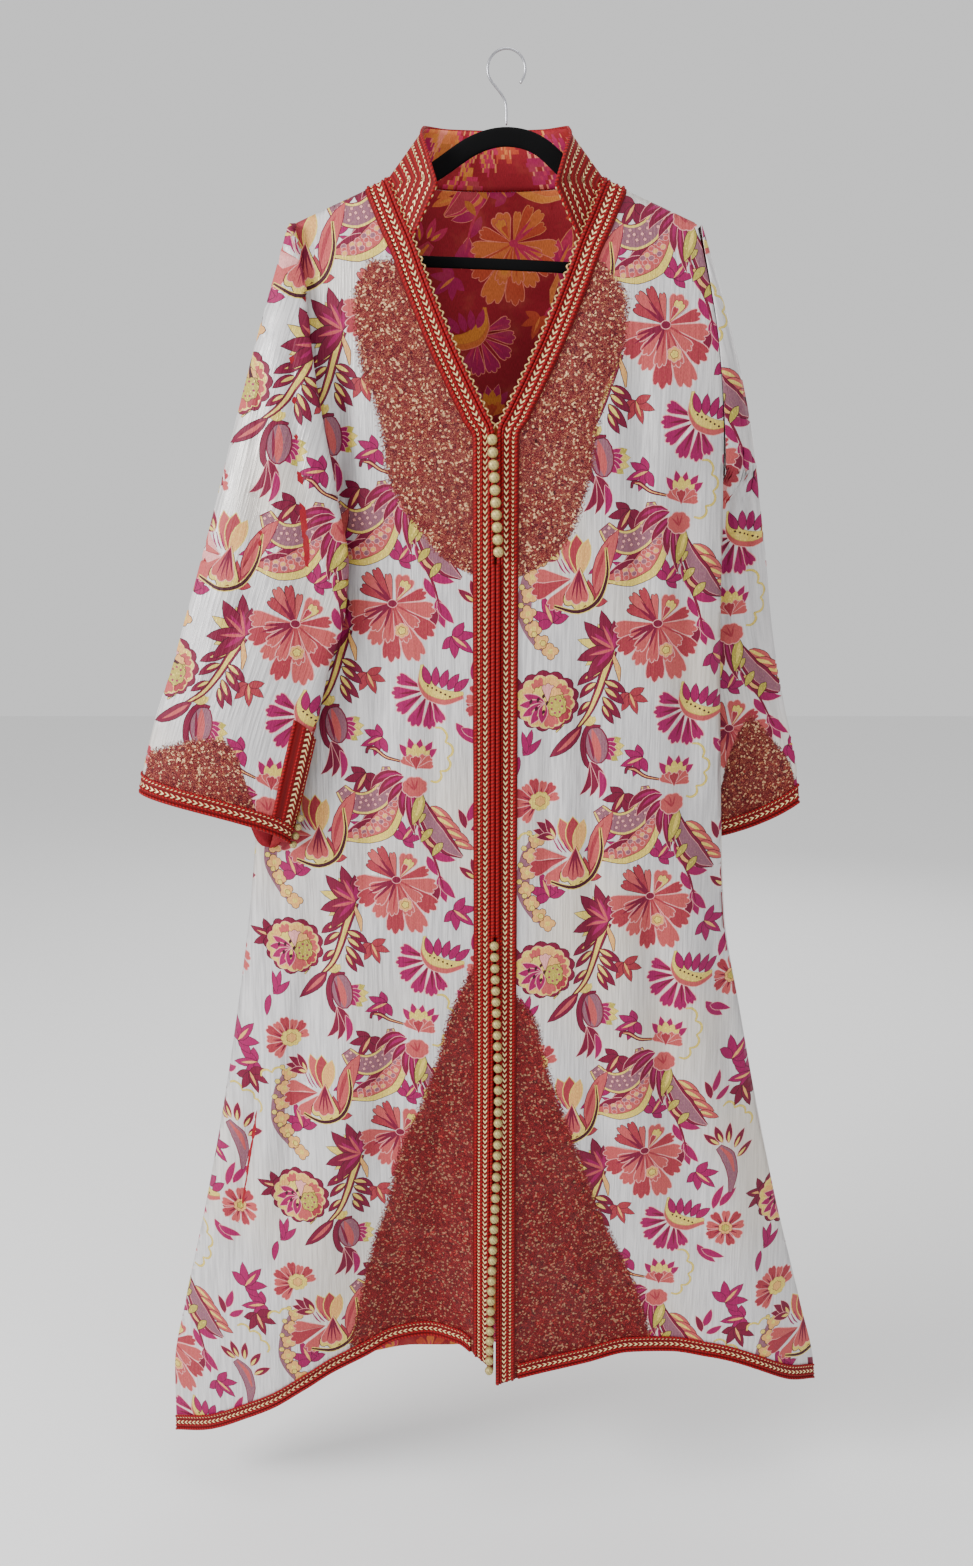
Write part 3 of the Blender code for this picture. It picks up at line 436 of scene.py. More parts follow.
def sleeve_point(side, u, t):
    """Inner face of a sleeve: u round it from the outer edge over the far cloth, t from armhole to cuff."""
    rows = SLEEVE[side]
    facing = FRONT if side == RIGHT else BACK
    round_share = 1 - np.abs(1 - 2 * u)
    start = TIP_Z + (UNDERARM_Z - TIP_Z) * round_share
    outer_end, inner_end = CUFF_Z[side]
    end = outer_end + (inner_end - outer_end) * ease(cuff_share(side, u, round_share))
    z = start + (end - start) * t
    reached = np.clip((z - TIP_Z) / (UNDERARM_Z - TIP_Z), 1e-4, 1)
    w = np.clip(round_share / reached, 0, 1) / 2
    outer = read(rows, "outer", z)
    inner = read(rows, "inner", z)
    out_depth = read(rows, "out_depth", z)
    far = read(rows, "far", z)
    wide = side_x(side, z)
    root = np.clip(wide - read(rows, "root", z), inner + UNDER_LEAST, wide)
    clear = SLEEVE_CLEAR + UNDERARM_EXTRA * np.exp(-(((z - UNDERARM_Z + 15) / 35) ** 2))
    root_x, root_depth = along(side, facing, root, z, clear)
    in_armhole = z >= UNDERARM_Z
    root_x = np.where(in_armhole, wide + ARMHOLE_CLEAR, root_x)
    root_depth = np.where(in_armhole, panel_depth(side, facing, wide, z), root_depth)
    under = along(side, facing, inner + 6, z, SLEEVE_CLEAR)[1]
    far = np.maximum(far, under + FOLD_ROOM)
    fold_depth_here = (under + far) / 2
    # Far cloth, from the outer edge to the fold
    turn = np.clip(w / FOLD_SHARE, 0, 1) * math.pi
    across = (1 + np.cos(turn)) / 2
    far_x = inner + (outer - inner) * across
    middle = fold_depth_here + (out_depth - fold_depth_here) * across
    crown = np.maximum(far - middle, 2)
    far_depth = middle + crown * np.sin(turn) ** 0.8
    # Cloth under the fold, back along the panel to the seam
    back_share = np.clip((w - FOLD_SHARE) / (0.5 - FOLD_SHARE), 0, 1)
    across_panel = inner + 6 + (root - inner - 6) * back_share
    under_x, under_depth = along(side, facing, across_panel, z, clear)
    first = np.clip(back_share / 0.25, 0, 1)
    under_x = inner + (under_x - inner) * (1 - np.cos(first * math.pi / 2))
    under_depth = fold_depth_here + (under_depth - fold_depth_here) * np.sin(first * math.pi / 2)
    turn_down = np.where(in_armhole, ease((back_share - 0.6) / 0.2), ease((back_share - 0.8) / 0.2))
    last = ease((back_share - 0.86) / 0.14)
    last = np.where(in_armhole, last, ease((back_share - 0.8) / 0.2))
    under_x = under_x + (root_x - under_x) * turn_down
    under_depth = under_depth + (root_depth - under_depth) * last
    past_fold = w > FOLD_SHARE
    far_half_x = np.where(past_fold, under_x, far_x)
    far_half_depth = np.where(past_fold, under_depth, far_depth)
    # Near cloth, from the other edge of the armhole to the outer edge
    quarter = w * math.pi
    near_start = np.where(in_armhole, -panel_depth(side, -facing, wide, z), root_depth)
    closer = (ARMHOLE_CLEAR - NEAR_CLEAR) * (armhole_half(z) / ARMHOLE_OPEN) ** 0.5
    near_x = root_x - closer + (outer - root_x + closer) * np.cos(quarter)
    near_depth = out_depth + (near_start - out_depth) * np.sin(quarter)
    over_depth = along(side, facing, near_x, z, SLEEVE_CLEAR)[1]
    on_panel = (near_x < wide + 2) & ~in_armhole
    near_depth = np.where(on_panel, np.maximum(near_depth, over_depth), near_depth)
    is_far = u <= 0.5
    x = np.where(is_far, far_half_x, near_x)
    depth = np.where(is_far, far_half_depth, near_depth)
    slit = ease((SLIT_TOP_Z - z) / 60) * SLIT_OPEN * np.exp(-(((0.5 - w) / 0.06) ** 2))
    depth = depth - np.where(is_far, 0, slit)
    return np.stack([CENTRE_X + side * x, facing * depth, z], axis=-1)


def lifted(surface, s, t, lift):
    """A point of a surface moved out along its normal."""
    small = 1e-3
    down = np.clip(t + small, 0, 1) - np.clip(t - small, 0, 1)
    across = surface(s + small, t) - surface(s - small, t)
    run = surface(s, np.clip(t + small, 0, 1)) - surface(s, np.clip(t - small, 0, 1))
    normal = np.cross(across, run / np.maximum(down, small)[..., None])
    normal = normal / np.maximum(np.linalg.norm(normal, axis=-1, keepdims=True), 1e-9)
    return surface(s, t) + normal * lift


def base_of_collar(share):
    """The neck edge that the collar stands on, from the right front (0) round to the left one (1)."""
    front_share = 0.14
    t_front = (COLLAR_FRONT_Z - NECK_Z) / (HEM_RIGHT["z"][0] - NECK_Z)
    points = []
    for value in share:
        if value < front_share:
            below = t_front * (1 - value / front_share)
            point = front_point(RIGHT, np.array(0.0), np.array(below))
        elif value > 1 - front_share:
            below = t_front * (value - 1 + front_share) / front_share
            point = front_point(LEFT, np.array(0.0), np.array(below))
        else:
            turn = (value - front_share) / (1 - 2 * front_share)
            reach = -math.cos(turn * math.pi) * NECK_X / TIP_X
            point = back_point(np.array(reach), np.array(0.0))
        points.append(point)
    return np.array(points)


def between_points(before, start, end, after, t):
    """Catmull-Rom curve between two points."""
    linear = (end - before) * t
    square = (2 * before - 5 * start + 4 * end - after) * t**2
    cubic = (3 * start - before - 3 * end + after) * t**3
    return 0.5 * (2 * start + linear + square + cubic)


def on_opening(z, lift, x=0.0):
    """A point in front of the centre opening at one height."""
    side = RIGHT if x < 0 else LEFT
    hem = HEM[side]
    t = (z - NECK_Z) / (hem["z"][0] - NECK_Z)
    surface = front_point(side, np.array(0.0), np.array(float(t)))
    return np.array([CENTRE_X + x, surface[1] - lift, z])


# Dyes of the brocade's face and of its reverse, in sRGB, each with how much metal thread it holds
DYES = {
    "ground": ((0.86, 0.85, 0.86), (0.66, 0.13, 0.22), 0.0),
    "coral": ((0.79, 0.41, 0.41), (0.86, 0.52, 0.30), 0.05),
    "deep_coral": ((0.69, 0.27, 0.33), (0.80, 0.38, 0.26), 0.05),
    "pink": ((0.92, 0.69, 0.68), (0.93, 0.60, 0.52), 0.0),
    "magenta": ((0.66, 0.06, 0.42), (0.72, 0.14, 0.42), 0.0),
    "maroon": ((0.54, 0.05, 0.28), (0.80, 0.24, 0.42), 0.0),
    "wine": ((0.34, 0.06, 0.18), (0.90, 0.62, 0.42), 0.0),
    "yellow": ((0.90, 0.82, 0.46), (0.88, 0.60, 0.30), 1.0),
    "peach": ((0.91, 0.72, 0.47), (0.90, 0.58, 0.34), 0.5),
    "olive": ((0.76, 0.71, 0.36), (0.80, 0.52, 0.26), 0.8),
    "mauve": ((0.62, 0.44, 0.50), (0.74, 0.30, 0.36), 0.1),
}
DYE_NAMES = list(DYES)
# One repeat of the pattern, width and height
REPEAT = (305.0, 318.0)
# Width of the thread that edges a patch, slimness of the leaves, and how petals end and start
LINE = 0.75
LEAF_SLIM = 0.57
LOBES_DEEP, PETAL_ROOT = 0.09, 0.12


def leaf(x, y, angle, length, width, bend=0.0, widest=0.8, count=7):
    """A leaf that grows from a root, bends to one side by some degrees and ends in a point."""
    t = np.linspace(0, 1, count)
    heading = np.radians(angle + bend * t)
    ahead = np.stack([np.cos(heading), np.sin(heading)], axis=1)
    steps = (ahead[1:] + ahead[:-1]) / 2 * length / (count - 1)
    spine = np.array([x, y]) + np.concatenate([[[0, 0]], np.cumsum(steps, axis=0)])
    half = width * LEAF_SLIM * np.sin(math.pi * t**widest) ** 0.8
    half[0] = width * 0.05
    across = np.stack([-ahead[:, 1], ahead[:, 0]], axis=1) * half[:, None]
    return np.concatenate([(spine + across)[:-1], spine[-1:], (spine - across)[:-1][::-1]])


def petal(x, y, angle, length, spread, lobes=3):
    """A broad petal whose tip ends in a few round lobes."""
    a = np.linspace(-1, 1, 4 * lobes + 1)
    tip = length * (1 - 0.14 * a**2 - LOBES_DEEP * (1 - np.abs(np.sin(lobes * math.pi * (a + 1) / 2))))
    heading = np.radians(angle + a * spread / 2 * (1 - 0.12 * np.abs(a) ** 3))
    rim = np.stack([x + tip * np.cos(heading), y + tip * np.sin(heading)], axis=1)
    sides = []
    for edge in (1, -1):
        turn = math.radians(angle + edge * spread * 0.42)
        sides.append((x + 0.45 * length * math.cos(turn), y + 0.45 * length * math.sin(turn)))
    start = math.radians(angle)
    foot = np.array([[x - PETAL_ROOT * math.cos(start), y - PETAL_ROOT * math.sin(start)]])
    return np.concatenate([rim, sides[:1], foot, sides[1:]])


def disc(x, y, wide, high, lobes=0, deep=0.12, turn=0.0, count=14):
    """A round or scalloped patch."""
    count = lobes * 4 if lobes else count
    a = np.linspace(0, 2 * math.pi, count, endpoint=False)
    r = 1 - deep * (1 - np.abs(np.sin(lobes * a / 2))) if lobes else np.ones(count)
    local = np.stack([wide * r * np.cos(a), high * r * np.sin(a)], axis=1)
    c, s = math.cos(math.radians(turn)), math.sin(math.radians(turn))
    return np.array([x, y]) + local @ np.array([[c, s], [-s, c]])


def ribbon(points, widths):
    """A stem or band of changing width along a soft line through a few points."""
    points = np.array(points, float)
    ends = np.concatenate([[2 * points[0] - points[1]], points, [2 * points[-1] - points[-2]]])
    line = []
    for k in range(len(points) - 1):
        for t in np.linspace(0, 1, 4, endpoint=False):
            line.append(between_points(*ends[k : k + 4], t))
    line = np.array(line + [points[-1]])
    half = np.interp(np.linspace(0, 1, len(line)), np.linspace(0, 1, len(widths)), widths) / 2
    ahead = np.gradient(line, axis=0)
    ahead = ahead / np.linalg.norm(ahead, axis=1, keepdims=True)
    across = np.stack([-ahead[:, 1], ahead[:, 0]], axis=1) * half[:, None]
    return np.concatenate([line + across, (line - across)[::-1]])


def widened(shape, by):
    """The same outline a little larger all round, for the thread that edges it."""
    ahead = np.roll(shape, -1, axis=0) - np.roll(shape, 1, axis=0)
    length = np.maximum(np.linalg.norm(ahead, axis=1, keepdims=True), 1e-6)
    out = np.stack([ahead[:, 1], -ahead[:, 0]], axis=1) / length
    area = np.sum(shape[:, 0] * np.roll(shape[:, 1], -1) - shape[:, 1] * np.roll(shape[:, 0], -1))
    return shape + out * (by if area > 0 else -by)


class Pattern:
    """Patches of dye in painting order."""

    def __init__(self):
        self.patches = []

    def lay(self, shape, dye, edge="wine", line=LINE):
        if edge:
            self.patches.append((widened(shape, line), edge))
        self.patches.append((shape, dye))

    def leaves(self, rows, dye, edge="wine", line=LINE):
        """Leaves of one dye, each a row of what a leaf is given."""
        for row in rows:
            self.lay(leaf(*row), dye, edge, line)

    def fan(self, x, y, rows, dye="maroon", edge="wine", line=LINE):
        """Leaves from one root, each a row of angle, length, width and bend."""
        self.leaves([(x, y, *row) for row in rows], dye, edge, line)

    def spread(self, x, y, rows, dye, edge, line=LINE):
        """Petals from one root, each a row of angle, length, spread and lobes."""
        for row in rows:
            self.lay(petal(x, y, *row), dye, edge, line)

    def veins(self, x, y, leaves, dye, share=0.62):
        """A lighter or darker stripe inside each leaf of a fan."""
        for angle, length, width, bend in leaves:
            self.lay(leaf(x, y, angle, length * share, width * 0.34, bend * share, 0.9, 5), dye, None)


def coral_flower(p):
    heart = (0, 18)
    back_row = (
        (188, 50, 30), (214, 54, 30), (243, 52, 28), (268, 66, 26),
        (294, 70, 28), (322, 58, 30), (350, 48, 30), (18, 40, 26),
    )
    for k, (angle, length, spread) in enumerate(back_row):
        p.lay(petal(*heart, angle, length, spread), ("coral", "deep_coral")[k % 2], "pink", 0.9)
    for k, (angle, length, spread) in enumerate(((152, 40, 22), (134, 46, 20), (116, 44, 18), (98, 34, 18))):
        p.lay(petal(*heart, angle, length, spread, 2), ("deep_coral", "coral")[k % 2], "wine")
    near_row = ((203, 34, 26), (232, 38, 26), (262, 44, 24), (290, 46, 24), (318, 38, 26))
    p.spread(*heart, near_row, "coral", "pink", 1.0)
    stripes = ((196, 36), (207, 40), (222, 36), (248, 30), (140, 30), (125, 32))
    p.fan(*heart, [(*row, 3.2, 6) for row in stripes], "maroon", None)
    stripes = ((266, 40), (282, 44), (300, 40), (334, 30))
    p.fan(*heart, [(*row, 2.2, -6) for row in stripes], "deep_coral", None)
    p.lay(petal(4, 20, 66, 32, 56, 3), "coral", "pink", 1.0)
    p.lay(petal(5, 22, 60, 24, 42, 3), "yellow", "maroon", 0.6)
    p.lay(petal(5, 23, 64, 15, 34, 2), "deep_coral", "pink")
    p.lay(disc(10, -12, 8, 8, 6, 0.2), "peach", "pink")
    p.lay(disc(10, -12, 4.2, 4.2, 5, 0.2), "yellow", "wine", 0.6)
    p.lay(disc(0, 18, 5, 4), "maroon", "pink")


def palmette(p):
    leaves = (
        (112, 46, 13, -6), (84, 32, 12, 14), (146, 46, 15, -18), (190, 43, 14, 14), (220, 44, 13, 20),
    )
    gold = ((128, 34, 9, -10), (168, 42, 11, -6), (204, 36, 9, 14), (100, 28, 8, 4))
    p.fan(-49, -10, gold, "yellow")
    p.fan(-49, -10, leaves)
    p.veins(-49, -10, leaves, "magenta")
    p.fan(-49, -10, ((116, 30, 3), (150, 30, 3), (194, 28, 3)), "coral", None)


def branch(p):
    line = ((-49, -12), (-58, -34), (-66, -60), (-76, -84), (-92, -104))
    p.lay(ribbon(line, (8, 10, 8, 6, 3)), "maroon")
    p.lay(ribbon(line, (3, 5, 4, 3, 1)), "yellow", None)
    p.lay(ribbon(((-50, -16), (-44, -32), (-42, -46)), (3, 6, 1)), "peach")
    twigs = (
        (-58, -46, -22, 27, 9, -14), (-58, -54, -36, 28, 9, -8), (-60, -64, -52, 32, 9, 4),
        (-60, -74, -62, 24, 7, 6), (-64, -36, 196, 30, 9, 30), (-68, -48, 214, 26, 8, 20),
        (-74, -70, 222, 22, 7, 10),
    )
    for x, y, angle, length, width, bend in twigs:
        p.lay(leaf(x, y, angle, length, width, bend), "maroon")
        p.lay(leaf(x, y, angle, length * 0.6, width * 0.4, bend * 0.6), "yellow", None)
    p.lay(leaf(-84, -98, 232, 50, 12, -14), "maroon")
    p.lay(leaf(-86, -101, 232, 36, 4, -12), "coral", None)
    p.lay(ribbon(((-100, -74), (-104, -92), (-112, -104)), (1, 3, 1)), "yellow", "wine", 0.6)


def peony(p, x=-124, y=-68):
    p.lay(disc(x, y, 37, 35, 13, 0.1), "maroon", "wine", 0.8)
    p.lay(disc(x - 1, y - 1, 33, 31, 13, 0.1, 8), "yellow", "pink", 0.5)
    for angle, length, dye in ((150, 30, "peach"), (110, 30, "coral"), (75, 31, "peach"), (35, 30, "coral")):
        p.lay(petal(x, y - 2, angle, length, 52, 4), dye, "yellow", 0.8)
    lower = ((0, 30, "coral"), (-35, 31, "deep_coral"), (-75, 30, "coral"), (-120, 29, "peach"))
    for angle, length, dye in lower:
        p.lay(petal(x, y - 2, angle, length, 50, 3), dye, "yellow", 0.8)
    for angle, length, dye in ((130, 22, "yellow"), (90, 22, "pink"), (50, 21, "peach"), (10, 20, "olive")):
        p.lay(petal(x + 2, y - 2, angle, length, 54, 3), dye, "wine", 0.6)
    p.lay(disc(x + 12, y - 6, 11, 13, 7, 0.16), "olive", "wine", 0.6)
    for k in range(7):
        a = math.radians(51 * k)
        p.lay(disc(x + 12 + 6 * math.cos(a), y - 6 + 8 * math.sin(a), 1.4, 1.4, count=6), "magenta", None)
    for angle, length in ((150, 26), (178, 28), (205, 28), (232, 27), (258, 22)):
        p.lay(leaf(x - 2, y - 4, angle, length, 9, 8), "magenta", "pink", 0.8)
        p.lay(leaf(x - 2, y - 4, angle + 2, length * 0.6, 3, 8), "yellow", None)
    seeds = ((-8, 4), (-2, 8), (-10, -6), (-2, -10), (2, 0), (-16, 2))
    p.leaves([(x + dx, y + dy, 240, 6, 3, 20, 0.9, 5) for dx, dy in seeds], "wine", None)


def thistle(p, x=-66, y=-119):
    for angle, length, width, dye in (
        (20, 26, 9, "olive"), (0, 28, 9, "yellow"), (-20, 28, 9, "yellow"), (-40, 26, 8, "olive"),
    ):
        p.lay(leaf(x + 3, y - 2, angle, length, width, 6, 1.2), dye, "olive")
    p.fan(x + 2, y - 2, [(angle, 21, 7, 4, 1.2) for angle in (28, 8, -12, -30, -48)], "magenta", "pink", 0.6)
    p.lay(disc(x, y, 12, 21, turn=8), "mauve", "maroon", 1.6)
    p.lay(leaf(x + 3, y - 20, 96, 40, 8, 12), "coral", None)
    p.lay(leaf(x - 2, y - 18, 100, 34, 3, 8), "maroon", None)
    rim = ((x + 4, y + 22), (x - 10, y + 19), (x - 16, y), (x - 11, y - 22), (x + 4, y - 32))
    p.lay(ribbon(rim, (2, 5, 6, 6, 2)), "maroon")
    p.fan(x - 6, y - 20, ((-72, 44, 8, -74), (-56, 44, 8, -70), (-40, 44, 8, -66)), "maroon", "pink", 0.6)
    p.lay(leaf(x + 4, y - 30, -60, 34, 7, -60), "magenta", "pink", 0.6)
    p.fan(x - 8, y + 22, [(angle, 12, 6, 0, 1.2, 5) for angle in (60, 88, 118, 146)], "yellow", "olive", 0.5)


DAISY_PETALS = 9


def daisy(p, x, y, size, first):
    """A round flower with petals of two dyes in turn, the first at a given angle."""
    for k in range(DAISY_PETALS):
        angle = first + 360 * k / DAISY_PETALS
        dye = ("coral", "deep_coral")[k % 2]
        p.lay(petal(x, y, angle, size * (1 + 0.08 * (k % 2)), 36, 2), dye, "pink", 0.8)
        p.lay(leaf(x, y, angle, size * 0.72, 2, 4), "maroon", None)
    p.lay(disc(x, y, size * 0.36, size * 0.36, 8, 0.16), "peach", "wine", 0.5)
    p.lay(disc(x, y, size * 0.2, size * 0.2, 6, 0.2), "olive", "wine", 0.5)


def side_daisy(p, x=-136, y=-180):
    """A flower seen from the side: coral petals swept up over a pale centre."""
    for k, angle in enumerate((20, 48, 74, 100, 126, 152, 180, 208, 236)):
        dye = ("coral", "deep_coral")[k % 2]
        p.lay(petal(x + 3, y - 6, angle, 27 + 3 * (k % 2), 30, 2), dye, "pink", 0.8)
        p.lay(leaf(x + 3, y - 6, angle, 20, 2, 4), "maroon", None)
    p.lay(disc(x + 6, y - 4, 12, 11, 9, 0.14), "yellow", "olive", 0.6)
    p.lay(disc(x + 6, y - 4, 6, 6, 6, 0.2), "peach", "wine", 0.5)


def lotus(p, x=24, y=-158):
    crown = ((128, 30), (104, 32), (80, 30), (54, 32), (36, 30))
    p.fan(x, y - 6, [(*row, 8, 0, 1.2) for row in crown], "magenta", "pink", 0.6)
    inner = ((116, 23, 8), (92, 25, 9), (68, 24, 9), (46, 22, 8))
    p.fan(x, y - 6, [(*row, 0, 1.1) for row in inner], "yellow", None)
    cup = ((146, 20), (122, 18), (58, 18), (34, 21), (10, 20))
    p.spread(x, y - 10, [(*row, 36, 2) for row in cup], "coral", "pink", 0.7)
    p.lay(petal(x, y - 12, 92, 16, 60, 3), "deep_coral", "pink", 0.7)


def lattice_horn(p):
    """A curved horn filled with a diamond net, ending in a thin curl."""
    spine = ((-62, -194), (-50, -207), (-34, -211), (-18, -203), (-9, -186), (-10, -168))
    spine = np.array(spine, float)
    p.lay(ribbon(spine, (14, 22, 26, 24, 18, 8)), "yellow", "maroon", 1.2)
    p.lay(ribbon(spine, (10, 18, 21, 19, 13, 4)), "mauve", None)
    for k in range(11):
        t = (k + 0.5) / 11 * (len(spine) - 1)
        i = min(int(t), len(spine) - 2)
        at = spine[i] + (spine[i + 1] - spine[i]) * (t - i)
        ahead = spine[i + 1] - spine[i]
        side = np.array([-ahead[1], ahead[0]]) / np.hypot(*ahead)
        for row in (-1, 0, 1) if k % 2 else (-0.5, 0.5):
            p.lay(disc(*(at + side * row * 6.2), 2.1, 2.1, count=4, turn=20 * k), "pink", "wine", 0.5)
    p.lay(ribbon(((6, -160), (-10, -156), (-22, -148), (-31, -146), (-33, -152)), (2, 3, 4, 3, 2)), "maroon")
    p.lay(ribbon(((6, -160), (-10, -156), (-22, -148), (-29, -147)), (0.6, 1.2, 1.6, 0.8)), "peach", None)


def ball_and_leaves(p):
    for x, y, angle, length, width, bend in (
        (8, -176, 168, 44, 10, 76), (10, -178, 190, 40, 9, 60), (12, -184, 214, 34, 8, 36),
        (12, -190, 250, 36, 9, 30), (20, -196, 268, 42, 8, 22), (16, -192, 262, 56, 6, 30),
    ):
        p.lay(leaf(x, y, angle, length, width, bend), "maroon", "pink", 0.6)
        p.lay(leaf(x, y, angle, length * 0.7, width * 0.36, bend * 0.7), "magenta", None)
    p.lay(leaf(30, -198, 258, 38, 11, -8), "olive", "wine")
    p.lay(leaf(30, -202, 258, 24, 4, -8), "yellow", None)
    p.lay(disc(22, -190, 14, 12, 8, 0.1), "coral", "pink", 1.0)
    p.fan(22, -194, ((70, 14, 2, 10), (100, 14, 2, 10), (130, 14, 2, 10)), "deep_coral", None)


def scale_leaf(p):
    """A long leaf of round scales with a bright lower edge and dark barbs above."""
    barbs = ((-6, -218, 200, 44, 12, 16), (-22, -232, 196, 40, 11, 14), (-34, -246, 190, 34, 10, 10))
    p.leaves(barbs, "maroon", "pink", 0.6)
    spine = ((0, -196), (-2, -216), (-14, -236), (-34, -248), (-60, -252))
    p.lay(ribbon(spine, (8, 22, 30, 22, 3)), "yellow", "wine")
    upper = np.array(spine, float) + np.array([-3, 3])
    p.lay(ribbon(upper, (5, 16, 21, 14, 2)), "coral", "wine", 0.6)
    for k in range(9):
        t = 0.5 + k * 0.36
        i = int(t)
        at = upper[i] + (upper[i + 1] - upper[i]) * (t - i)
        ahead = upper[i + 1] - upper[i]
        side = np.array([-ahead[1], ahead[0]]) / np.hypot(*ahead)
        for row in (-1, 0, 1):
            dye = ("peach", "mauve", "coral")[(k + row) % 3]
            place = at + side * row * (5.6 - 0.5 * abs(k - 4))
            p.lay(disc(*place, 3.0, 2.6, count=7, turn=30), dye, "pink", 0.6)


def plume(p):
    """A tall leaf at the right, mauve inside with a wine edge and gold barbs."""
    spine = ((30, -206), (36, -226), (48, -246), (62, -262), (76, -272))
    barbs = ((40, -214, -30, 34, 10), (46, -226, -24, 34, 10), (56, -240, -20, 32, 9), (66, -254, -14, 26, 8))
    for x, y, angle, length, width in barbs:
        p.lay(leaf(x, y, angle, length, width, -14), "coral", "wine")
        p.lay(leaf(x, y, angle, length * 0.7, width * 0.35, -10), "yellow", None)
    p.lay(ribbon(spine, (6, 18, 24, 18, 3)), "maroon")
    p.lay(ribbon(spine, (2, 11, 16, 11, 1)), "mauve", "pink", 0.5)
    tips = ((34, -222, 215), (42, -240, 218), (54, -256, 222))
    p.leaves([(*row, 20, 7, 20) for row in tips], "olive")


def tulip(p, x=-92, y=-246):
    p.lay(petal(x - 6, y - 4, 200, 46, 34, 3), "deep_coral", "pink", 0.8)
    p.lay(petal(x - 6, y - 4, 174, 40, 30, 3), "coral", "pink", 0.8)
    p.lay(petal(x - 4, y - 6, 232, 40, 34, 3), "coral", "pink", 0.8)
    tops = ((118, 46, 14, "coral"), (100, 44, 15, "deep_coral"), (82, 40, 12, "peach"))
    for angle, length, width, dye in tops:
        p.lay(leaf(x + 4, y, angle, length, width, -8, 1.1), dye, "yellow", 1.2)
    p.lay(leaf(x + 22, y - 20, 84, 74, 16, -26, 0.9), "coral", "maroon", 1.0)
    p.lay(leaf(x + 20, y - 14, 84, 54, 4, -24, 0.9), "deep_coral", None)
    p.lay(petal(x + 4, y + 8, 268, 46, 62, 3), "yellow", "wine", 1.0)
    p.lay(petal(x + 3, y + 8, 266, 40, 54, 3), "coral", "pink", 0.8)
    stripes = ((252, 34), (262, 36), (272, 35), (284, 30))
    p.fan(x + 3, y + 6, [(*row, 2, 8) for row in stripes], "maroon", None)
    sweep = ((x + 32, y + 30), (x + 34, y), (x + 24, y - 28), (x + 2, y - 40), (x - 24, y - 34))
    p.lay(ribbon(sweep, (1, 3, 4, 4, 2)), "wine", "yellow", 1.0)
    for angle, length, width in ((150, 28, 9), (130, 30, 9), (110, 26, 8), (168, 22, 8)):
        p.lay(leaf(x - 20, y + 18, angle, length, width, 16), "maroon", "pink", 0.6)
        p.lay(leaf(x - 20, y + 18, angle, length * 0.5, width * 0.4, 8), "yellow", None)
    for dx in (0, 5, 10):
        line = ((x - 22 + dx, y + 18), (x - 17 + dx, y + 8), (x - 12 + dx, y + 2))
        p.lay(ribbon(line, (1, 2, 1)), "magenta", None)


def blossom_chain(p):
    """Small four-lobed flowers along a curved band."""
    places = (
        (-134, 88, 20), (-140, 70, 40), (-144, 50, 10), (-145, 30, 60), (-139, 13, 30), (-130, -2, 0),
        (-120, -12, 50),
    )
    p.lay(ribbon([(x - 4, y) for x, y, _ in places], (8, 15, 16, 16, 15, 12, 6)), "mauve", None)
    for x, y, turn in places:
        p.lay(disc(x, y, 9.5, 9.5, 4, 0.34, turn), "peach", "wine", 0.8)
        p.lay(disc(x, y, 3.4, 3.4, 4, 0.3, turn + 45), "yellow", None)
        p.lay(disc(x - 8, y + 9, 3.2, 3.2, count=6), "yellow", "wine", 0.6)


def feather_flower(p, x=38, y=-80):
    feathers = (
        (-12, 10, 158, 24), (-16, 0, 184, 26), (-14, -8, 214, 27), (-4, -14, 244, 30), (6, -20, 268, 28),
        (12, -22, 292, 22),
    )
    for dx, dy, angle, length in feathers:
        p.lay(petal(x + dx * 0.4, y + dy * 0.4, angle, length + 8, 34, 3), "magenta", "pink", 1.0)
        p.lay(leaf(x + dx * 0.4, y + dy * 0.4, angle, length, 2.4, 6), "maroon", None)
    line = ((x - 6, y + 26), (x - 4, y + 10), (x + 4, y - 2), (x + 20, y - 8), (x + 40, y - 6))
    p.lay(ribbon(line, (4, 14, 18, 15, 4)), "coral", "pink", 0.8)
    p.lay(ribbon([(a, b + 4) for a, b in line], (3, 11, 13, 10, 3)), "yellow", "olive", 0.6)
    for k, angle in enumerate((112, 92, 76, 60, 46)):
        p.lay(leaf(x + 2 + 7 * k, y + 8 - 2 * k, angle, 22, 8, -10), "magenta", "wine", 0.6)
    for k in range(6):
        p.lay(disc(x + 5 * k, y + 6 - 2.4 * k, 1.4, 1.4, count=6), "wine", None)


def sprays(p):
    """Feathery leaves in magenta, and in maroon where their length divides by four."""
    for row in (
        (30, 70, -58, 30, 8, 20), (36, 60, -40, 32, 9, 20), (40, 50, -24, 30, 9, 16),
        (36, 46, -70, 26, 8, 16), (50, 24, -84, 34, 10, 14), (50, 20, -60, 30, 9, 14),
        (48, 12, -104, 24, 8, 8), (26, 84, -80, 34, 5, 24), (82, 88, 60, 26, 8, 20),
        (80, 80, 100, 24, 7, 20), (86, 78, 20, 22, 7, 20),
    ):
        p.lay(leaf(*row), "magenta" if row[3] % 4 else "maroon", "pink", 0.6)
    p.lay(ribbon(((22, 96), (32, 68), (46, 38), (54, 8)), (2, 3, 3, 1)), "maroon", None)
    p.lay(ribbon(((30, 76), (38, 62), (48, 54)), (3, 5, 1)), "peach", "wine", 0.6)


